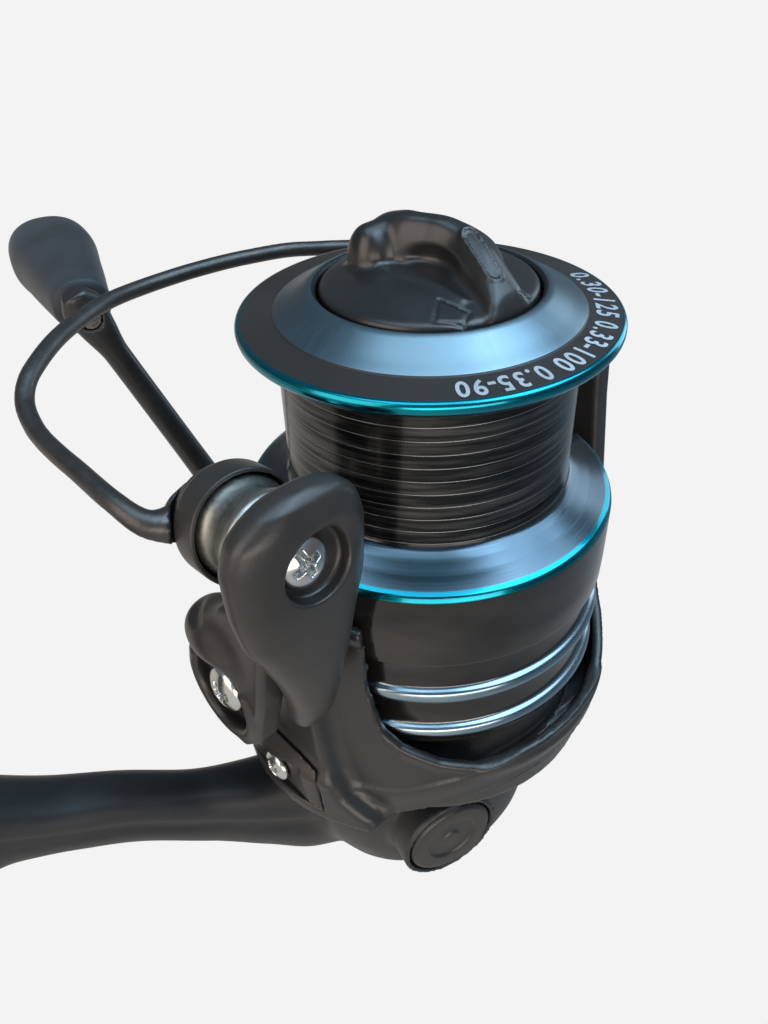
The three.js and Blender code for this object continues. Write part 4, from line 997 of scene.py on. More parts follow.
def build_rotor(sizes):
    """The cup under the spool, its two arms, and the raised shield between them."""
    # Heights of the shield's rim and foot by degrees from an arm, and an arm's half width by height.
    rim = ([0, 28, 29, 31, 33, 38, 49, 61, 74, 90],
           [-30, -31, -42, -46, -49, -51.4, -54.4, -56.4, -57.4, -57.6])
    foot = ([0, 20, 37, 49, 61, 74, 90], [-67.2, -67, -66, -63.6, -62, -60.6, -60.3])
    half = ([-67.5, -65.5, -63.8, -62, -58, -54, -46, -41, -36],
            [16.2, 15.0, 13.4, 11.7, 9.8, 8.9, 7.8, 7.4, 6.8])
    inner = DRUM_R - 1.6
    drum_outline = [
        (4.8, Z_PLATE), (4.8, Z_PLATE - 2.5), (inner, Z_PLATE - 2.5), (inner, -62.5), (24.6, -64.4),
        (24.6, Z_CUP_END), (25.3, Z_CUP_END), (26.1, -66.2), (26.4, -62.8), (25.8, -61.6),
        (DRUM_R + 0.05, -61.4), (DRUM_R, -38), (inner, -38), (inner, Z_PLATE),
    ]
    room_outline = [(DRUM_R + 0.2, -61.2), (25.95, -61.2), (25.95, -20), (DRUM_R + 0.2, -20)]

    def field(p):
        x, y, z = p.T
        r = np.hypot(x, y)
        out, across, beside = np.abs(x), np.abs(y), y * np.sign(x)
        turn = np.degrees(np.arctan2(across, out))
        high, low = np.interp(turn, *rim), np.interp(turn, *foot)
        bowl = np.maximum(np.abs(r - BOWL_R) - 0.5, np.maximum(z - high, low - z))
        lip = np.hypot(np.maximum(np.abs(r - BOWL_R) - 0.1, 0), (z - high) * 0.8) - 0.45
        skirt = np.hypot(np.maximum(r - 21.9, 0), np.minimum(z - low - 5.2, 0) * 0.95) - 5.2
        ends = np.maximum(z - low - 5.2, np.maximum(20.5 - r, Z_CUP_END + 0.4 - z))
        skirt = np.maximum(np.abs(skirt) - 0.7, ends)
        shell = fuse(1.3, bowl, lip, skirt)
        shell = np.maximum(shell, 12.5 - turn)
        slab = np.maximum(np.maximum(ARM_IN - r, out - foot_face(y, z)),
                          np.maximum(z - Z_PIVOT - 7, Z_CUP_END - z))
        arm = overlap(slab, across - np.interp(z, *half), 1.2)
        arm = overlap(arm, np.where(z > Z_PIVOT, np.hypot(across, z - Z_PIVOT) - 7.4, -9.0), 0.8)
        root = box(np.stack([out, y, z], 1), (24.8, -14, Z_CUP_END), (ARM_OUT, 14, -63.4), 0.7)
        root = np.maximum(root, r - 27.6)
        boss = np.maximum(np.hypot(y, z - Z_PIVOT) - 4.5, np.maximum(ARM_OUT - 0.6 - out, out - BOSS_END))
        whole = fuse(0.7 * sizes.fillet, shell, arm, root)
        whole = fuse(0.5, whole, outline(r, z, drum_outline))
        whole = fuse(0.4, whole, boss)
        whole = carve(whole, np.maximum(np.hypot(y, z - Z_PIVOT) - 1.5, 25 - out), 0.1)
        whole = carve(whole, np.maximum(np.hypot(y, z - COVER_SCREW_Z) - 1.2, 26.5 - out), 0.1)
        whole = carve(whole, np.maximum(np.hypot(x - 9, y) - 1.2, z - Z_PLATE - 1), 0.1)
        whole = carve(whole, outline(r, z, room_outline), 0.15)
        return carve(whole, np.maximum(outline(beside, z, COVER_EDGE) - 0.2, 29.45 - out), 0.2)

    piece = sculpted("rotor_moulding", field, (-34, -29, Z_CUP_END - 0.8), (34, 29, -29),
                     0.84 * sizes.fineness, ROTOR, LOOKS["rotor_plastic"])
    fit(piece, "rotor_unit", "rotor_plastic", "rotor")


def build_arm_covers(sizes):
    """A plate let into the foot of each arm, with a stepped notch for its screw."""

    def field(p):
        x, y, z = p.T
        plate = overlap(outline(y, z, COVER_EDGE) + 0.05, np.maximum(29.6 - x, x - foot_face(y, z)), 0.3)
        plate = carve(plate, np.maximum(outline(y, z, COVER_NOTCH), 30.75 - x), 0.4)
        return carve(plate, np.hypot(y, z - COVER_SCREW_Z) - 1.3, 0.1)

    for name, turn in (("roller_arm_cover", ROTOR), ("holder_arm_cover", FAR_ARM)):
        piece = sculpted(name + "_moulding", field, (28.5, -11, -67), (33, 11, -55), 0.54 * sizes.fineness,
                         turn, LOOKS["graphite_plastic"])
        fit(piece, "rotor_unit", "graphite_plastic", name)


def build_bail_holder(sizes):
    end_y, end_z = 7.0, -17.4

    def field(p):
        x, y, z = p.T
        shape = [(7.4, Z_PIVOT - 3), (8.6, Z_PIVOT + 8), (end_y + 3.2, end_z - 5), (end_y + 0.1, end_z + 2.9),
                 (end_y - 4.4, end_z + 2.9), (-1, end_z - 0.5), (-4.4, end_z - 1.6), (-4.8, end_z - 7.5),
                 (-7, Z_PIVOT - 4), (-4, -48), (0, Z_PIVOT - 7.8), (5, -47)]
        slab = thick(outline(y, z, shape) + 0.5, x, LEVER_X, LEVER_X + 3.6, 1.1)
        grip = rod(p, (LEVER_X + 1.6, end_y - 5, end_z), (LEVER_X + 1.6, end_y + 0.1, end_z), 3.0, 0.8)
        whole = fuse(0.7 * sizes.fillet, slab, grip)
        pivot = np.hypot(y, z - Z_PIVOT)
        whole = carve(whole, np.maximum(pivot - 3.5, LEVER_X + 1.8 - x), 0.2)
        whole = carve(whole, pivot - 1.9, 0.1)
        start, end = (LEVER_X + 1.6, end_y - 0.8, end_z), (LEVER_X + 1.6, end_y + 12, end_z)
        return carve(whole, rod(p, start, end, WIRE_R + GAP, 0.1), 0.15)

    piece = sculpted("bail_holder_moulding", field, (31.5, -10, -51), (39.5, 13, -13), 0.8 * sizes.fineness,
                     FAR_ARM, LOOKS["graphite_plastic"])
    fit(piece, "bail", "graphite_plastic", "bail_holder")


# The housing by height: the middle along X and the half widths along X and Y. The stem by X: the middle
# along Z and the half widths along Z and Y.
HOUSING = [
    (-66.2, -3.4, 24, 22.8), (-68.2, -3.5, 23.8, 22.4), (-79.2, -4, 23, 20.6), (-91.2, -2.6, 20, 18.2),
    (-97.7, -0.8, 16, 15.2), (-101.7, 0, 13.6, 13.2), (-105.2, 0, 10.5, 10),
]
HOUSING_SIDE = [(-26, Z_BODY), (21.4, Z_BODY), (19.8, Z_BODY - 10), (17.6, Z_BODY - 18), (14.5, Z_TAIL + 12),
                (11.6, Z_TAIL + 6), (8.0, Z_TAIL + 2.2), (3, Z_TAIL + 0.2), (-4, Z_TAIL), (-9, Z_TAIL + 1.8),
                (-14, Z_TAIL + 6), (-20, Z_TAIL + 12), (-25, Z_BODY - 17)]
STEM = [
    (-16, -86.5, 11, 7.5), (-25, -84.4, 10.6, 6.6), (-33, -80.4, 8.4, 5.6), (-42, -74.9, 6.8, 4.5),
    (-52, -67.9, 6, 4.5), (-60, -63.7, 5.7, 4.8), (-67, -59.9, 6.6, 5.2), (-70.6, -57.8, 8.6, 5.6),
    (-73.2, -56.4, 12.5, 6.1),
]
SCREW_SPOTS = ((15, Z_BODY - 5.5), (8, Z_TAIL + 7.5), (-22, Z_BODY - 4))


def housing(p, inset):
    x, y, z = p.T
    levels = np.array(HOUSING)[::-1]
    centre, rx, ry = (curve(z, levels[:, 0], levels[:, k]) for k in (1, 2, 3))
    around = (np.hypot((x - centre) / rx, y / ry) - 1) * np.minimum(rx, ry)
    sides = np.maximum(np.abs(y) - BODY_HALF, outline(x, z, HOUSING_SIDE))
    return overlap(around, sides, 2.6) + inset


def drive_axis(p):
    return np.hypot(p[:, 0] - DRIVE_X, p[:, 2] - Z_DRIVE)


def stem_field(p):
    x, y, z = p.T
    columns = np.array(sorted(STEM))
    middle, tall, wide = (curve(x, columns[:, 0], columns[:, k]) for k in (1, 2, 3))
    up = (z - middle) / tall
    pinch = 1 - 0.1 * np.exp(-((up - 0.05) / 0.16) ** 2)
    bar = (np.abs(y / (wide * pinch)) ** 2.6 + np.abs(up) ** 2.6) ** (1 / 2.6)
    bar = (bar - 1) * np.minimum(wide, tall)
    return overlap(bar, np.maximum(x + 14, FOOT_X + 0.6 - x), 0.8)


def build_body(sizes):
    """The gear housing with its stem and foot, open on the side where the cover goes."""
    gear_y = COVER_Y - 4.8
    neck_outline = [(0, Z_BODY - 2.5), (21.1, Z_BODY - 2.5), (21.1, -63.9), (12.3, -63.9), (12.3, -60.3),
                    (0, -60.3)]

    def foot(p):
        x, y, z = p.T
        along = np.abs(z - FOOT_Z)
        end = FOOT_L / 2
        rounding = np.maximum(along - end * 0.55, 0) / (end * 0.47)
        half = FOOT_W / 2 * np.sqrt(np.clip(1 - rounding**2, 0, 1)) + 0.02
        thick_here = np.interp(along, [0, end * 0.5, end], [FOOT_T, FOOT_T, 1.0])
        crown = thick_here * (1 - 0.18 * np.clip(y / np.maximum(half, 0.5), -1, 1) ** 2)
        flat = np.maximum(np.abs(y) - half, along - end)
        return overlap(flat, np.maximum(x - FOOT_X - crown, FOOT_X - x), 0.5)

    def field(p):
        x, y, z = p.T
        r = np.hypot(x, y)
        axis = drive_axis(p)
        shell = np.maximum(housing(p, 0), y - COVER_Y)
        neck = np.maximum(outline(r, z, neck_outline), np.where(z < Z_BODY, y - COVER_Y, -99.0))
        boss = np.maximum(axis - BOSS_R, np.maximum(-BOSS_Y - y, y + BODY_HALF - 4))
        whole = fuse(1.1 * sizes.fillet, shell, stem_field(p))
        whole = fuse(2.6, whole, foot(p))
        whole = fuse(1.6, whole, boss)
        whole = fuse(0.4, whole, neck)
        inside = np.maximum(housing(p, 2.2), np.maximum(-BODY_HALF + 2.2 - y, y - COVER_Y - 5))
        inside = fuse(0.5, inside, np.maximum(r - 19.3, np.maximum(Z_BODY - 3.2 - z, z + 66.2)))
        posts = np.full(len(p), 99.0)
        holes = np.full(len(p), 99.0)
        for sx, sz in SCREW_SPOTS:
            at = np.hypot(x - sx, z - sz)
            posts = np.minimum(posts, np.maximum(at - 2.6, np.maximum(COVER_Y - 5.4 - y, y - COVER_Y)))
            holes = np.minimum(holes, np.maximum(at - 1.3, COVER_Y - 4.4 - y))
        inside = -soft_min(-inside, posts, 0.2)
        gear = np.maximum(axis - 13.2, gear_y - 0.6 - y)
        inside = fuse(0.3, inside, gear)
        bores = [
            np.maximum(r - 10.3, -64.3 - z), np.maximum(r - 8.3, -66 - z), np.maximum(r - 6.2, -68 - z),
            np.maximum(axis - 5.6, np.maximum(-BOSS_Y + 3 - y, y + BODY_HALF - 5)),
            np.maximum(axis - 4, y + BODY_HALF - 4), np.maximum(axis - 7.4, y + BOSS_Y - 1.5),
            np.maximum(np.hypot(x, z + 91.92) - 11.1, np.maximum(-11.5 - y, y + 4)),
            np.maximum(np.abs(x) - 8.6, np.maximum(np.abs(y + 0.6) - 5.5, np.abs(z + 95.4) - 5.7)),
            holes,
        ]
        whole = np.maximum(carve(whole, inside, 0.3), np.maximum(FOOT_X - x, Z_TAIL + 0.62 - z))
        for bore in bores:
            whole = carve(whole, bore, 0.12)
        return whole

    piece = sculpted("housing_moulding", field, (FOOT_X - 1, -23.5, Z_TAIL - 1.5), (26, 11.5, -27.5),
                     1.1 * sizes.fineness, STAND, LOOKS["foot_plastic"])
    fit(piece, "reel_body", "graphite_plastic", "body_frame")


def build_side_cover(sizes):
    def field(p):
        x, y, z = p.T
        axis = drive_axis(p)
        shell = np.maximum(housing(p, 0), COVER_Y + GAP - y)
        inside = np.maximum(housing(p, 2.5), y - BODY_HALF + 2.2)
        boss = np.maximum(axis - BOSS_R, np.maximum(COVER_Y + 1.6 - y, y - BOSS_Y))
        whole = fuse(1.6, carve(shell, inside, 0.3), boss)
        whole = carve(whole, np.maximum(axis - 5.6, y - BOSS_Y + 1.4), 0.1)
        whole = carve(whole, axis - 4, 0.15)
        for sx, sz in SCREW_SPOTS:
            at = np.hypot(x - sx, z - sz)
            post = np.maximum(at - 3.2, np.maximum(COVER_Y + GAP - y, y - COVER_Y - 3.4))
            whole = np.minimum(whole, post)
            whole = carve(whole, at - 1.3, 0.1)
            whole = carve(whole, np.maximum(at - 2.7, COVER_Y + 1.8 - y), 0.3)
        return whole

    piece = sculpted("side_cover_moulding", field, (-30, COVER_Y - 0.4, Z_TAIL - 1.5), (26, BOSS_Y + 1, -65),
                     0.9 * sizes.fineness, STAND, LOOKS["graphite_plastic"])
    fit(piece, "reel_body", "graphite_plastic", "side_cover")
    outer = -BOSS_Y - 0.3
    cap = turned("boss_cap_turned", [
        (0, outer, 0, 0), (1.3, outer, 0.2, 0), (1.7, outer + 0.35, 0.2, 0), (3.9, outer + 0.35, 0.2, 0),
        (4.3, outer, 0.2, 0), (6.6, outer, 0.4, 0), (7.1, outer + 0.5, 0.2, 0), (7.1, outer + 1.5, 0, 0),
        (3.7, outer + 1.5, 0, 0), (3.7, outer + 2.5, 0, 0), (0, outer + 2.5, 0, 0),
    ], CRANK, LOOKS["graphite_plastic"], 96)
    fit(cap, "reel_body", "graphite_plastic", "boss_cap")


def build_handle(sizes):
    tilt = math.radians(HANDLE_TILT)
    way = Vector((-math.sin(tilt), 0, math.cos(tilt)))
    side = Vector((math.cos(tilt), 0, math.sin(tilt)))
    widths = [(-0.075, 2.6), (-0.04, 5.1), (0.03, 5.6), (0.12, 4.0), (0.3, 2.7), (0.6, 2.3), (0.88, 2.2),
              (0.96, 3.0), (1.02, 3.5), (1.065, 2.0)]
    stalk_outline = [(0, 10), (1.2, 10), (1.2, BOSS_Y + 1.3), (5.6, BOSS_Y + 1.3), (5.6, BOSS_Y + 6.6),
                     (4.4, BOSS_Y + 9), (4, HANDLE_Y - 7), (5.4, HANDLE_Y - 2.4), (5.4, HANDLE_Y),
                     (0, HANDLE_Y)]
    grip_stations = [
        (1.7, 0, 0, 3.6, 3.4), (2.4, 0, 0, 4.7, 4.4), (7, 0, 0, 5.4, 4.9), (13, 0, 0, 6.2, 5.4),
        (20, 0, 0, 7.0, 6.1), (27, 0, 0, 7.8, 6.8), (31, 0, 0, 7.6, 6.6), (33.8, 0, 0, 6.2, 5.6),
        (KNOB_L, 0, 0, 4.4, 4.1),
    ]

    def field(p):
        rel = p - np.array((DRIVE_X, HANDLE_Y, Z_DRIVE))
        u, a, b = rel @ np.array(way), rel @ np.array(side), rel[:, 1]
        arm = swept(u, a, b, [(s * HANDLE_R, 0, 0, w, HANDLE_T / 2) for s, w in widths], 2.5)
        whole = fuse(1.0, arm, outline(drive_axis(p), p[:, 1], stalk_outline))
        end = np.hypot(a, u - HANDLE_R)
        return carve(whole, np.maximum(end - 1.9, HANDLE_Y - 9 - p[:, 1]), 0.15)

    low, high = node_box("handle_arm")
    piece = sculpted("handle_arm_cast", field, low - 1, high + 1, sizes.fineness, STAND,
                     LOOKS["knob_plastic"])
    fit(piece, "crank", "graphite_plastic", "handle_arm")

    def grip(p):
        x, y, z = p.T
        r = np.hypot(x, y)
        bulb = carve(swept(z, x, y, grip_stations), r - 2.3, 0.1)
        return carve(bulb, np.maximum(r - 3.8, KNOB_L - 5.4 - z), 0.3)

    piece = sculpted("handle_knob_grip", grip, (-10, -10, 1), (10, 10, KNOB_L + 0.8), 0.84 * sizes.fineness,
                     KNOB, LOOKS["grip_rubber"])
    fit(piece, "crank_knob", "grip_rubber", "handle_knob")
    cap = turned("knob_cap_turned", [
        (0, KNOB_L - 3.6, 0, 0), (3.45, KNOB_L - 3.6, 0, 0), (3.45, KNOB_L - 0.4, 0.3, 0),
        (2.9, KNOB_L, 0.3, 0), (0, KNOB_L - 0.15, 0, 0),
    ], KNOB, LOOKS["knob_plastic"], 64)
    fit(cap, "crank_knob", "graphite_plastic", "knob_cap")


def screw_seats():
    """Where each body's screws sit: (place of the head's seat, head radius, node it stands for)."""

    def at(*place):
        return Matrix.Translation(place)

    def spin(angle):
        return Matrix.Rotation(angle, 4, "Z")

    cover = at(ARM_OUT + 1.8, 0, COVER_SCREW_Z)
    pivot, far_pivot = (at(LEVER_X + rise, 0, Z_PIVOT) for rise in (2.8, 2.1))
    return {
        "bail": [(ROLLER @ at(0, 0, HEAD_OUT - 2.3) @ spin(0.35), 3.0, "roller_screw")],
        "rotor_unit": [
            (ROTOR @ pivot @ ALONG_X @ spin(0.3), 3.4, "bail_pivot_screw"),
            (FAR_ARM @ far_pivot @ ALONG_X, 2.9, "holder_pivot_screw"),
            (ROTOR @ cover @ ALONG_X @ spin(0.6), 2.4, "roller_arm_cover_screw"),
            (FAR_ARM @ cover @ ALONG_X, 2.4, "holder_arm_cover_screw"),
            (ROTOR @ at(9, 0, Z_PLATE + GAP), 1.9, "nut_lock_screw"),
        ],
        "reel_body": [
            (at(x, COVER_Y + 2.1, z) @ ALONG_Y @ spin(0.5 * k), 2.3, "cover_screw_%d" % (k + 1))
            for k, (x, z) in enumerate(SCREW_SPOTS)
        ],
    }


def unit_screw():
    """A domed head one unit in radius with a cross recess, and its shank."""

    def field(p):
        x, y, z = p.T
        r = np.hypot(x, y)
        head = thick(r - 1.0, z, 0.0, 0.2, 0.08)
        dome = overlap(np.sqrt(x**2 + y**2 + (z + 1.02) ** 2) - 1.6, np.maximum(r - 1.0, -z), 0.12)
        whole = fuse(0.05, head, dome, np.maximum(r - 0.38, np.maximum(z - 0.05, -1.6 - z)))
        reach = 0.62 - 0.25 * np.clip((0.58 - z) / 0.5, 0, 1)
        wide = 0.1 + 0.04 * np.clip((z - 0.1) / 0.5, 0, 1)
        bars = np.minimum(
            np.maximum(np.abs(x) - wide, np.abs(y) - reach), np.maximum(np.abs(y) - wide, np.abs(x) - reach)
        )
        cone = (r - 0.3 * np.clip((z + 0.1) / 0.7, 0, 1)) * 0.8
        return carve(whole, np.maximum(fuse(0.05, bars, cone), 0.08 - z), 0.05)

    vertices, faces = surface_of(field, (-1.2, -1.2, -1.75), (1.2, 1.2, 0.8), 0.045)
    mesh = bpy.data.meshes.new("unit_screw")
    mesh.from_pydata(vertices.tolist(), [], faces.tolist())
    mesh.shade_smooth()
    return bpy.data.objects.new("unit_screw", mesh)


def screw_nodes():
    """Puts a screw on every point, turned and sized by the point's own values."""
    group = bpy.data.node_groups.new("Screws on points", "GeometryNodeTree")
    for name, kind in (("Seats", "NodeSocketGeometry"), ("Screw", "NodeSocketObject"),
                       ("Size", "NodeSocketFloat"), ("Finish", "NodeSocketMaterial")):
        group.interface.new_socket(name, in_out="INPUT", socket_type=kind)
    group.interface.new_socket("Screws", in_out="OUTPUT", socket_type="NodeSocketGeometry")
    new, link = group.nodes.new, group.links.new
    start, end = new("NodeGroupInput"), new("NodeGroupOutput")
    screw, onto = new("GeometryNodeObjectInfo"), new("GeometryNodeInstanceOnPoints")
    turn, size = new("GeometryNodeInputNamedAttribute"), new("GeometryNodeInputNamedAttribute")
    turn.data_type, size.data_type = "FLOAT_VECTOR", "FLOAT"
    turn.inputs["Name"].default_value, size.inputs["Name"].default_value = "turn", "size"
    scale = new("ShaderNodeMath")
    scale.operation = "MULTIPLY"
    real, finish = new("GeometryNodeRealizeInstances"), new("GeometryNodeSetMaterial")
    link(start.outputs["Seats"], onto.inputs["Points"])
    link(start.outputs["Screw"], screw.inputs["Object"])
    link(screw.outputs["Geometry"], onto.inputs["Instance"])
    link(turn.outputs["Attribute"], onto.inputs["Rotation"])
    link(size.outputs["Attribute"], scale.inputs[0])
    link(start.outputs["Size"], scale.inputs[1])
    link(scale.outputs[0], onto.inputs["Scale"])
    link(onto.outputs["Instances"], real.inputs["Geometry"])
    link(real.outputs["Geometry"], finish.inputs["Geometry"])
    link(start.outputs["Finish"], finish.inputs["Material"])
    link(finish.outputs["Geometry"], end.inputs["Screws"])
    return group


def build_screws(sizes):
    group, screw = screw_nodes(), unit_screw()
    bpy.context.scene.collection.objects.link(screw)
    sockets = {s.name: s.identifier for s in group.interface.items_tree if s.in_out == "INPUT"}
    finish = LOOKS["screw_chrome"]
    for body, seats in screw_seats().items():
        points = bpy.data.meshes.new(body + "_seats")
        points.from_pydata([to_row([(0, 0, 0)], place)[0].tolist() for place, size, node in seats], [], [])
        points.attributes.new("turn", "FLOAT_VECTOR", "POINT")
        points.attributes.new("size", "FLOAT", "POINT")
        turn, size = points.attributes["turn"], points.attributes["size"]
        for k, (place, radius, node) in enumerate(seats):
            turn.data[k].vector = place.to_euler("XYZ")
            size.data[k].value = radius
        holder = bpy.data.objects.new(body + "_seats", points)
        bpy.context.scene.collection.objects.link(holder)
        made = holder.modifiers.new("Screws", "NODES")
        made.node_group = group
        made[sockets["Screw"]] = screw
        made[sockets["Size"]] = MM
        made[sockets["Finish"]] = finish
        holder.update_tag()
        ready = holder.evaluated_get(bpy.context.evaluated_depsgraph_get())
        mesh = bpy.data.meshes.new_from_object(ready)
        if not len(mesh.polygons):
            raise RuntimeError("no screws were made for " + body)
        if not mesh.materials:
            mesh.materials.append(finish)
        mesh.shade_smooth()
        piece = bpy.data.objects.new(body + "_screws", mesh)
        bpy.context.scene.collection.objects.link(piece)
        fit(piece, body, "screw_chrome", *[node for place, radius, node in seats])
        bpy.data.objects.remove(holder)
    bpy.data.objects.remove(screw)


def finish_frame_nodes(sizes):
    """The inner pieces keep the frame's shapes and get their real finishes."""
    for part in frame["record"]["subparts"]:
        node = bpy.data.objects.get(part["node"]) or frame["nodes"].get(part["node"])
        look = LOOKS.get(part["material_slot"])
        if node is None or look is None:
            raise RuntimeError("no finish for " + part["node"])
        for slot in node.material_slots:
            slot.material = look


# ---- Stage ----
class StageSizes(bpy.types.PropertyGroup):
    drop: bpy.props.FloatProperty(
        name="Floor", description="Depth of the floor below the lip",
        default=0.17, unit="LENGTH", subtype="DISTANCE",
    )
    strength: bpy.props.FloatProperty(
        name="Light", description="Strength of all lights", default=1.0, min=0.0,
    )


FLOOR_HALF = 9.0
SEEN_GREY = (0.896, 0.896, 0.896)
# Name, place and height of the aim in metres from the lip, size, watts, colour.
LIGHTS = (
    ("sky_window", (0.35, -0.25, 0.62), -0.02, (0.75, 0.5), 5.0, (0.55, 0.78, 1.0)),
    ("high_panel", (-0.01, -0.06, 0.72), -0.02, (0.75, 0.55), 3.2, (0.6, 0.82, 1.0)),
    ("room_warm", (-0.75, -0.2, 0.3), -0.05, (0.6, 0.8), 3.6, (1.0, 0.86, 0.74)),
    ("front_fill", (-0.25, -0.85, -0.02), -0.05, (0.9, 0.4), 4.2, (1.0, 0.88, 0.78)),
    ("right_edge", (0.8, 0.2, 0.05), -0.04, (0.3, 0.8), 1.6, (0.7, 0.86, 1.0)),
)
CAMERA_PLACE = (-49.46, -85.66, 43.88)  # millimetres from the lip
CAMERA_HEADING, CAMERA_PITCH, CAMERA_ROLL = 26.31, 37.365, -1.93
LENS, SENSOR = 29.88, 36.0


def pale_floor(drop):
    mesh = bpy.data.meshes.new("floor")
    corners = [
        (HOME.x + x * FLOOR_HALF, HOME.y + y * FLOOR_HALF, HOME.z - drop)
        for x, y in ((-1, -1), (1, -1), (1, 1), (-1, 1))
    ]
    mesh.from_pydata(corners, [], [(0, 1, 2, 3)])
    floor = bpy.data.objects.new("floor", mesh)
    bpy.context.scene.collection.objects.link(floor)
    look = Look("floor")
    seen = look.node("ShaderNodeLightPath", output="Is Camera Ray")
    grain = look.ramp(look.noise(look.node("ShaderNodeTexCoord", output="Object"), 3.0), 0.3, 0.7)
    dim = look.mix((0.1, 0.098, 0.095), (0.11, 0.108, 0.104), grain)
    east, north, up = look.split(look.node("ShaderNodeTexCoord", output="Object"))
    glow = look.mix((0.5, 0.46, 0.42), (0.07, 0.11, 0.15), look.ramp(east * 0.9 - north * 0.44, 0.03, 0.3))
    look.set(
        base_color=look.mix(dim, (0.0, 0.0, 0.0), seen),
        emission_color=look.mix(glow, SEEN_GREY, seen),
        emission_strength=1.0, roughness=1.0, specular_ior_level=0.0,
    )
    mesh.materials.append(look.material)


def soft_light(name, place, aim, size, watts, colour):
    light = bpy.data.lights.new(name, "AREA")
    light.shape = "RECTANGLE"
    light.size, light.size_y = size
    light.energy = watts
    light.color = colour
    holder = bpy.data.objects.new(name, light)
    start = HOME + Vector(place)
    holder.location = start
    holder.rotation_euler = (HOME + Vector(aim) - start).to_track_quat("-Z", "Y").to_euler()
    bpy.context.scene.collection.objects.link(holder)


def pale_room():
    """Warm light from below turning cool above, and the floor's grey where the camera sees past it."""
    world = bpy.data.worlds.new("room")
    world.use_nodes = True
    bpy.context.scene.world = world
    tree = world.node_tree
    back = tree.nodes["Background"]
    path, where = tree.nodes.new("ShaderNodeLightPath"), tree.nodes.new("ShaderNodeTexCoord")
    split, rise = tree.nodes.new("ShaderNodeSeparateXYZ"), tree.nodes.new("ShaderNodeMapRange")
    shade, pick = tree.nodes.new("ShaderNodeMix"), tree.nodes.new("ShaderNodeMix")
    shade.data_type = pick.data_type = "RGBA"
    tree.links.new(where.outputs["Generated"], split.inputs[0])
    tree.links.new(split.outputs["Z"], rise.inputs[0])
    tree.links.new(rise.outputs[0], shade.inputs[0])
    shade.inputs[6].default_value = (0.13, 0.115, 0.105, 1)
    shade.inputs[7].default_value = (0.14, 0.22, 0.3, 1)
    tree.links.new(path.outputs["Is Camera Ray"], pick.inputs[0])
    tree.links.new(shade.outputs[2], pick.inputs[6])
    pick.inputs[7].default_value = (*SEEN_GREY, 1)
    tree.links.new(pick.outputs[2], back.inputs["Color"])


def set_camera():
    """A camera above the lip, turned by heading, pitch and roll."""
    scene = bpy.context.scene
    heading, pitch, roll = (math.radians(v) for v in (CAMERA_HEADING, CAMERA_PITCH, CAMERA_ROLL))
    level = math.cos(pitch)
    ahead = Vector((math.sin(heading) * level, math.cos(heading) * level, -math.sin(pitch)))
    right = ahead.cross(Vector((0, 0, 1))).normalized()
    up = right.cross(ahead)
    across = math.cos(roll) * right + math.sin(roll) * up
    above = -math.sin(roll) * right + math.cos(roll) * up
    lens = bpy.data.cameras.new("camera")
    lens.lens = LENS
    lens.sensor_width = SENSOR
    lens.clip_start = 0.002
    camera = bpy.data.objects.new("camera", lens)
    place = Matrix((across, above, -ahead)).transposed().to_4x4()
    place.translation = HOME + Vector(CAMERA_PLACE) * MM
    camera.matrix_world = place
    scene.collection.objects.link(camera)
    scene.camera = camera


def build_stage(sizes):
    pale_floor(sizes.drop)
    for name, place, aim, size, watts, colour in LIGHTS:
        soft_light(name, place, (0, 0, aim), size, watts * sizes.strength, colour)
    pale_room()
    set_camera()
    bpy.context.scene.view_settings.view_transform = "Standard"


# ---- Add-on ----
def operator(name, label, text, build, group):
    """An operator that builds one piece, or one group of like pieces."""

    def execute(self, context):
        if not LOOKS:
            LOOKS.update(make_looks(context.scene.reel_finish))
        build(getattr(context.scene, group))
        return {"FINISHED"}

    return type("REEL_OT_" + name, (bpy.types.Operator,), {
        "bl_idname": "reel." + name, "bl_label": label, "__doc__": text, "bl_options": {"REGISTER", "UNDO"},
        "execute": execute,
    })


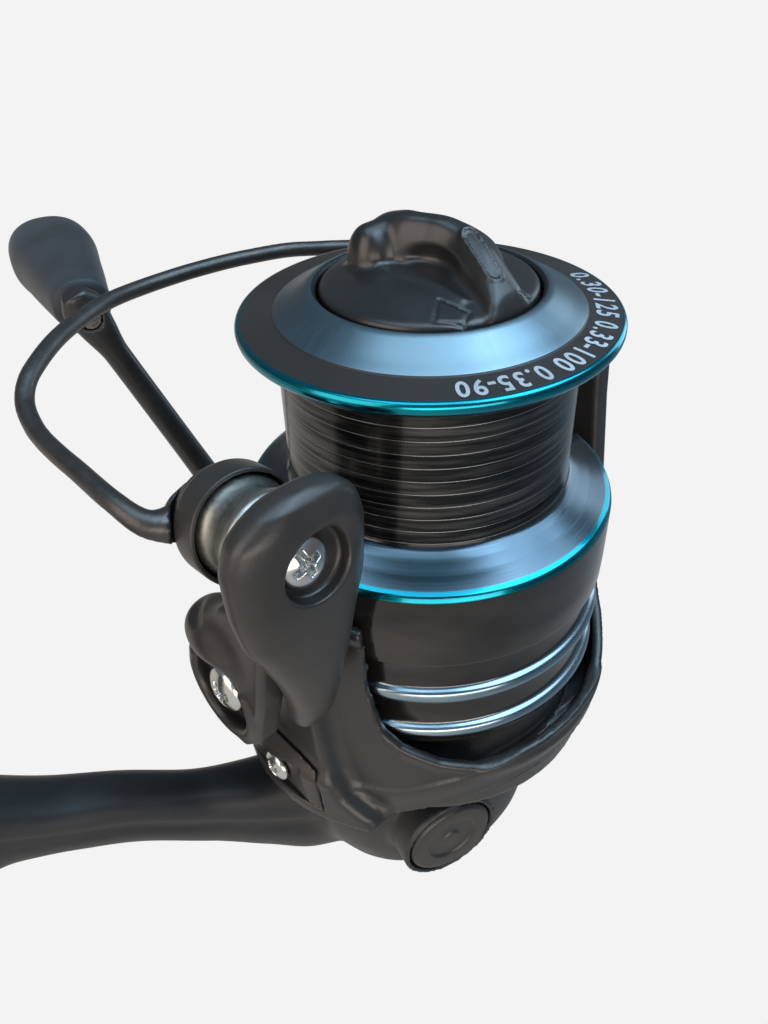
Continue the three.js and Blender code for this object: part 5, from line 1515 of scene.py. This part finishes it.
STEPS = (
    ("spool", "Spool", "Turn the spool and print its capacities", build_spool, "reel_spool"),
    ("drag_knob", "Drag knob", "Mould the drag knob with its finger wing", build_drag_knob, "reel_plastic"),
    ("rotor", "Rotor", "Mould the rotor with its two arms", build_rotor, "reel_plastic"),
    ("arm_covers", "Arm covers", "Mould the plates over the rotor's arms", build_arm_covers, "reel_plastic"),
    ("bail_arm", "Bail arm", "Mould the bail arm", build_bail_arm, "reel_plastic"),
    ("line_roller", "Line roller", "Turn the line roller", build_line_roller, "reel_plastic"),
    ("bail_cap", "Bail cap", "Turn the cap beside the roller", build_bail_cap, "reel_plastic"),
    ("bail_wire", "Bail wire", "Draw the bail wire", build_bail_wire, "reel_plastic"),
    ("bail_holder", "Bail holder", "Mould the far end of the bail", build_bail_holder, "reel_plastic"),
    ("body", "Body", "Mould the housing with its stem and foot", build_body, "reel_plastic"),
    ("side_cover", "Side cover", "Mould the side cover and the boss cap", build_side_cover, "reel_plastic"),
    ("handle", "Handle", "Cast the handle and mould its knob", build_handle, "reel_plastic"),
    ("screws", "Screws", "Put a screw in every seat", build_screws, "reel_plastic"),
    ("inner_pieces", "Inner pieces", "Finish the pieces inside", finish_frame_nodes, "reel_plastic"),
    ("stage", "Stage", "Set the floor, the lights and the camera", build_stage, "reel_stage"),
)
OPERATORS = [operator(*step) for step in STEPS]


class REEL_PT_panel(bpy.types.Panel):
    """Sizes and steps of the reel"""

    bl_idname = "REEL_PT_panel"
    bl_label = "Spinning reel"
    bl_space_type = "VIEW_3D"
    bl_region_type = "UI"
    bl_category = "Reel"

    def draw(self, context):
        for name, kind in GROUPS.items():
            sizes = getattr(context.scene, name)
            for key in kind.__annotations__:
                self.layout.prop(sizes, key)
        for step in STEPS:
            self.layout.operator("reel." + step[0])


GROUPS = {
    "reel_spool": SpoolSizes, "reel_plastic": PlasticSizes, "reel_finish": FinishColours,
    "reel_stage": StageSizes,
}
CLASSES = (*GROUPS.values(), *OPERATORS, REEL_PT_panel)


def register():
    for kind in CLASSES:
        bpy.utils.register_class(kind)
    for name, kind in GROUPS.items():
        setattr(bpy.types.Scene, name, bpy.props.PointerProperty(type=kind))


def unregister():
    for name in GROUPS:
        delattr(bpy.types.Scene, name)
    for kind in reversed(CLASSES):
        bpy.utils.unregister_class(kind)


def main():
    register()
    for step in STEPS:
        getattr(bpy.ops.reel, step[0])()
    bpy.context.view_layer.update()


if __name__ == "__main__":
    main()
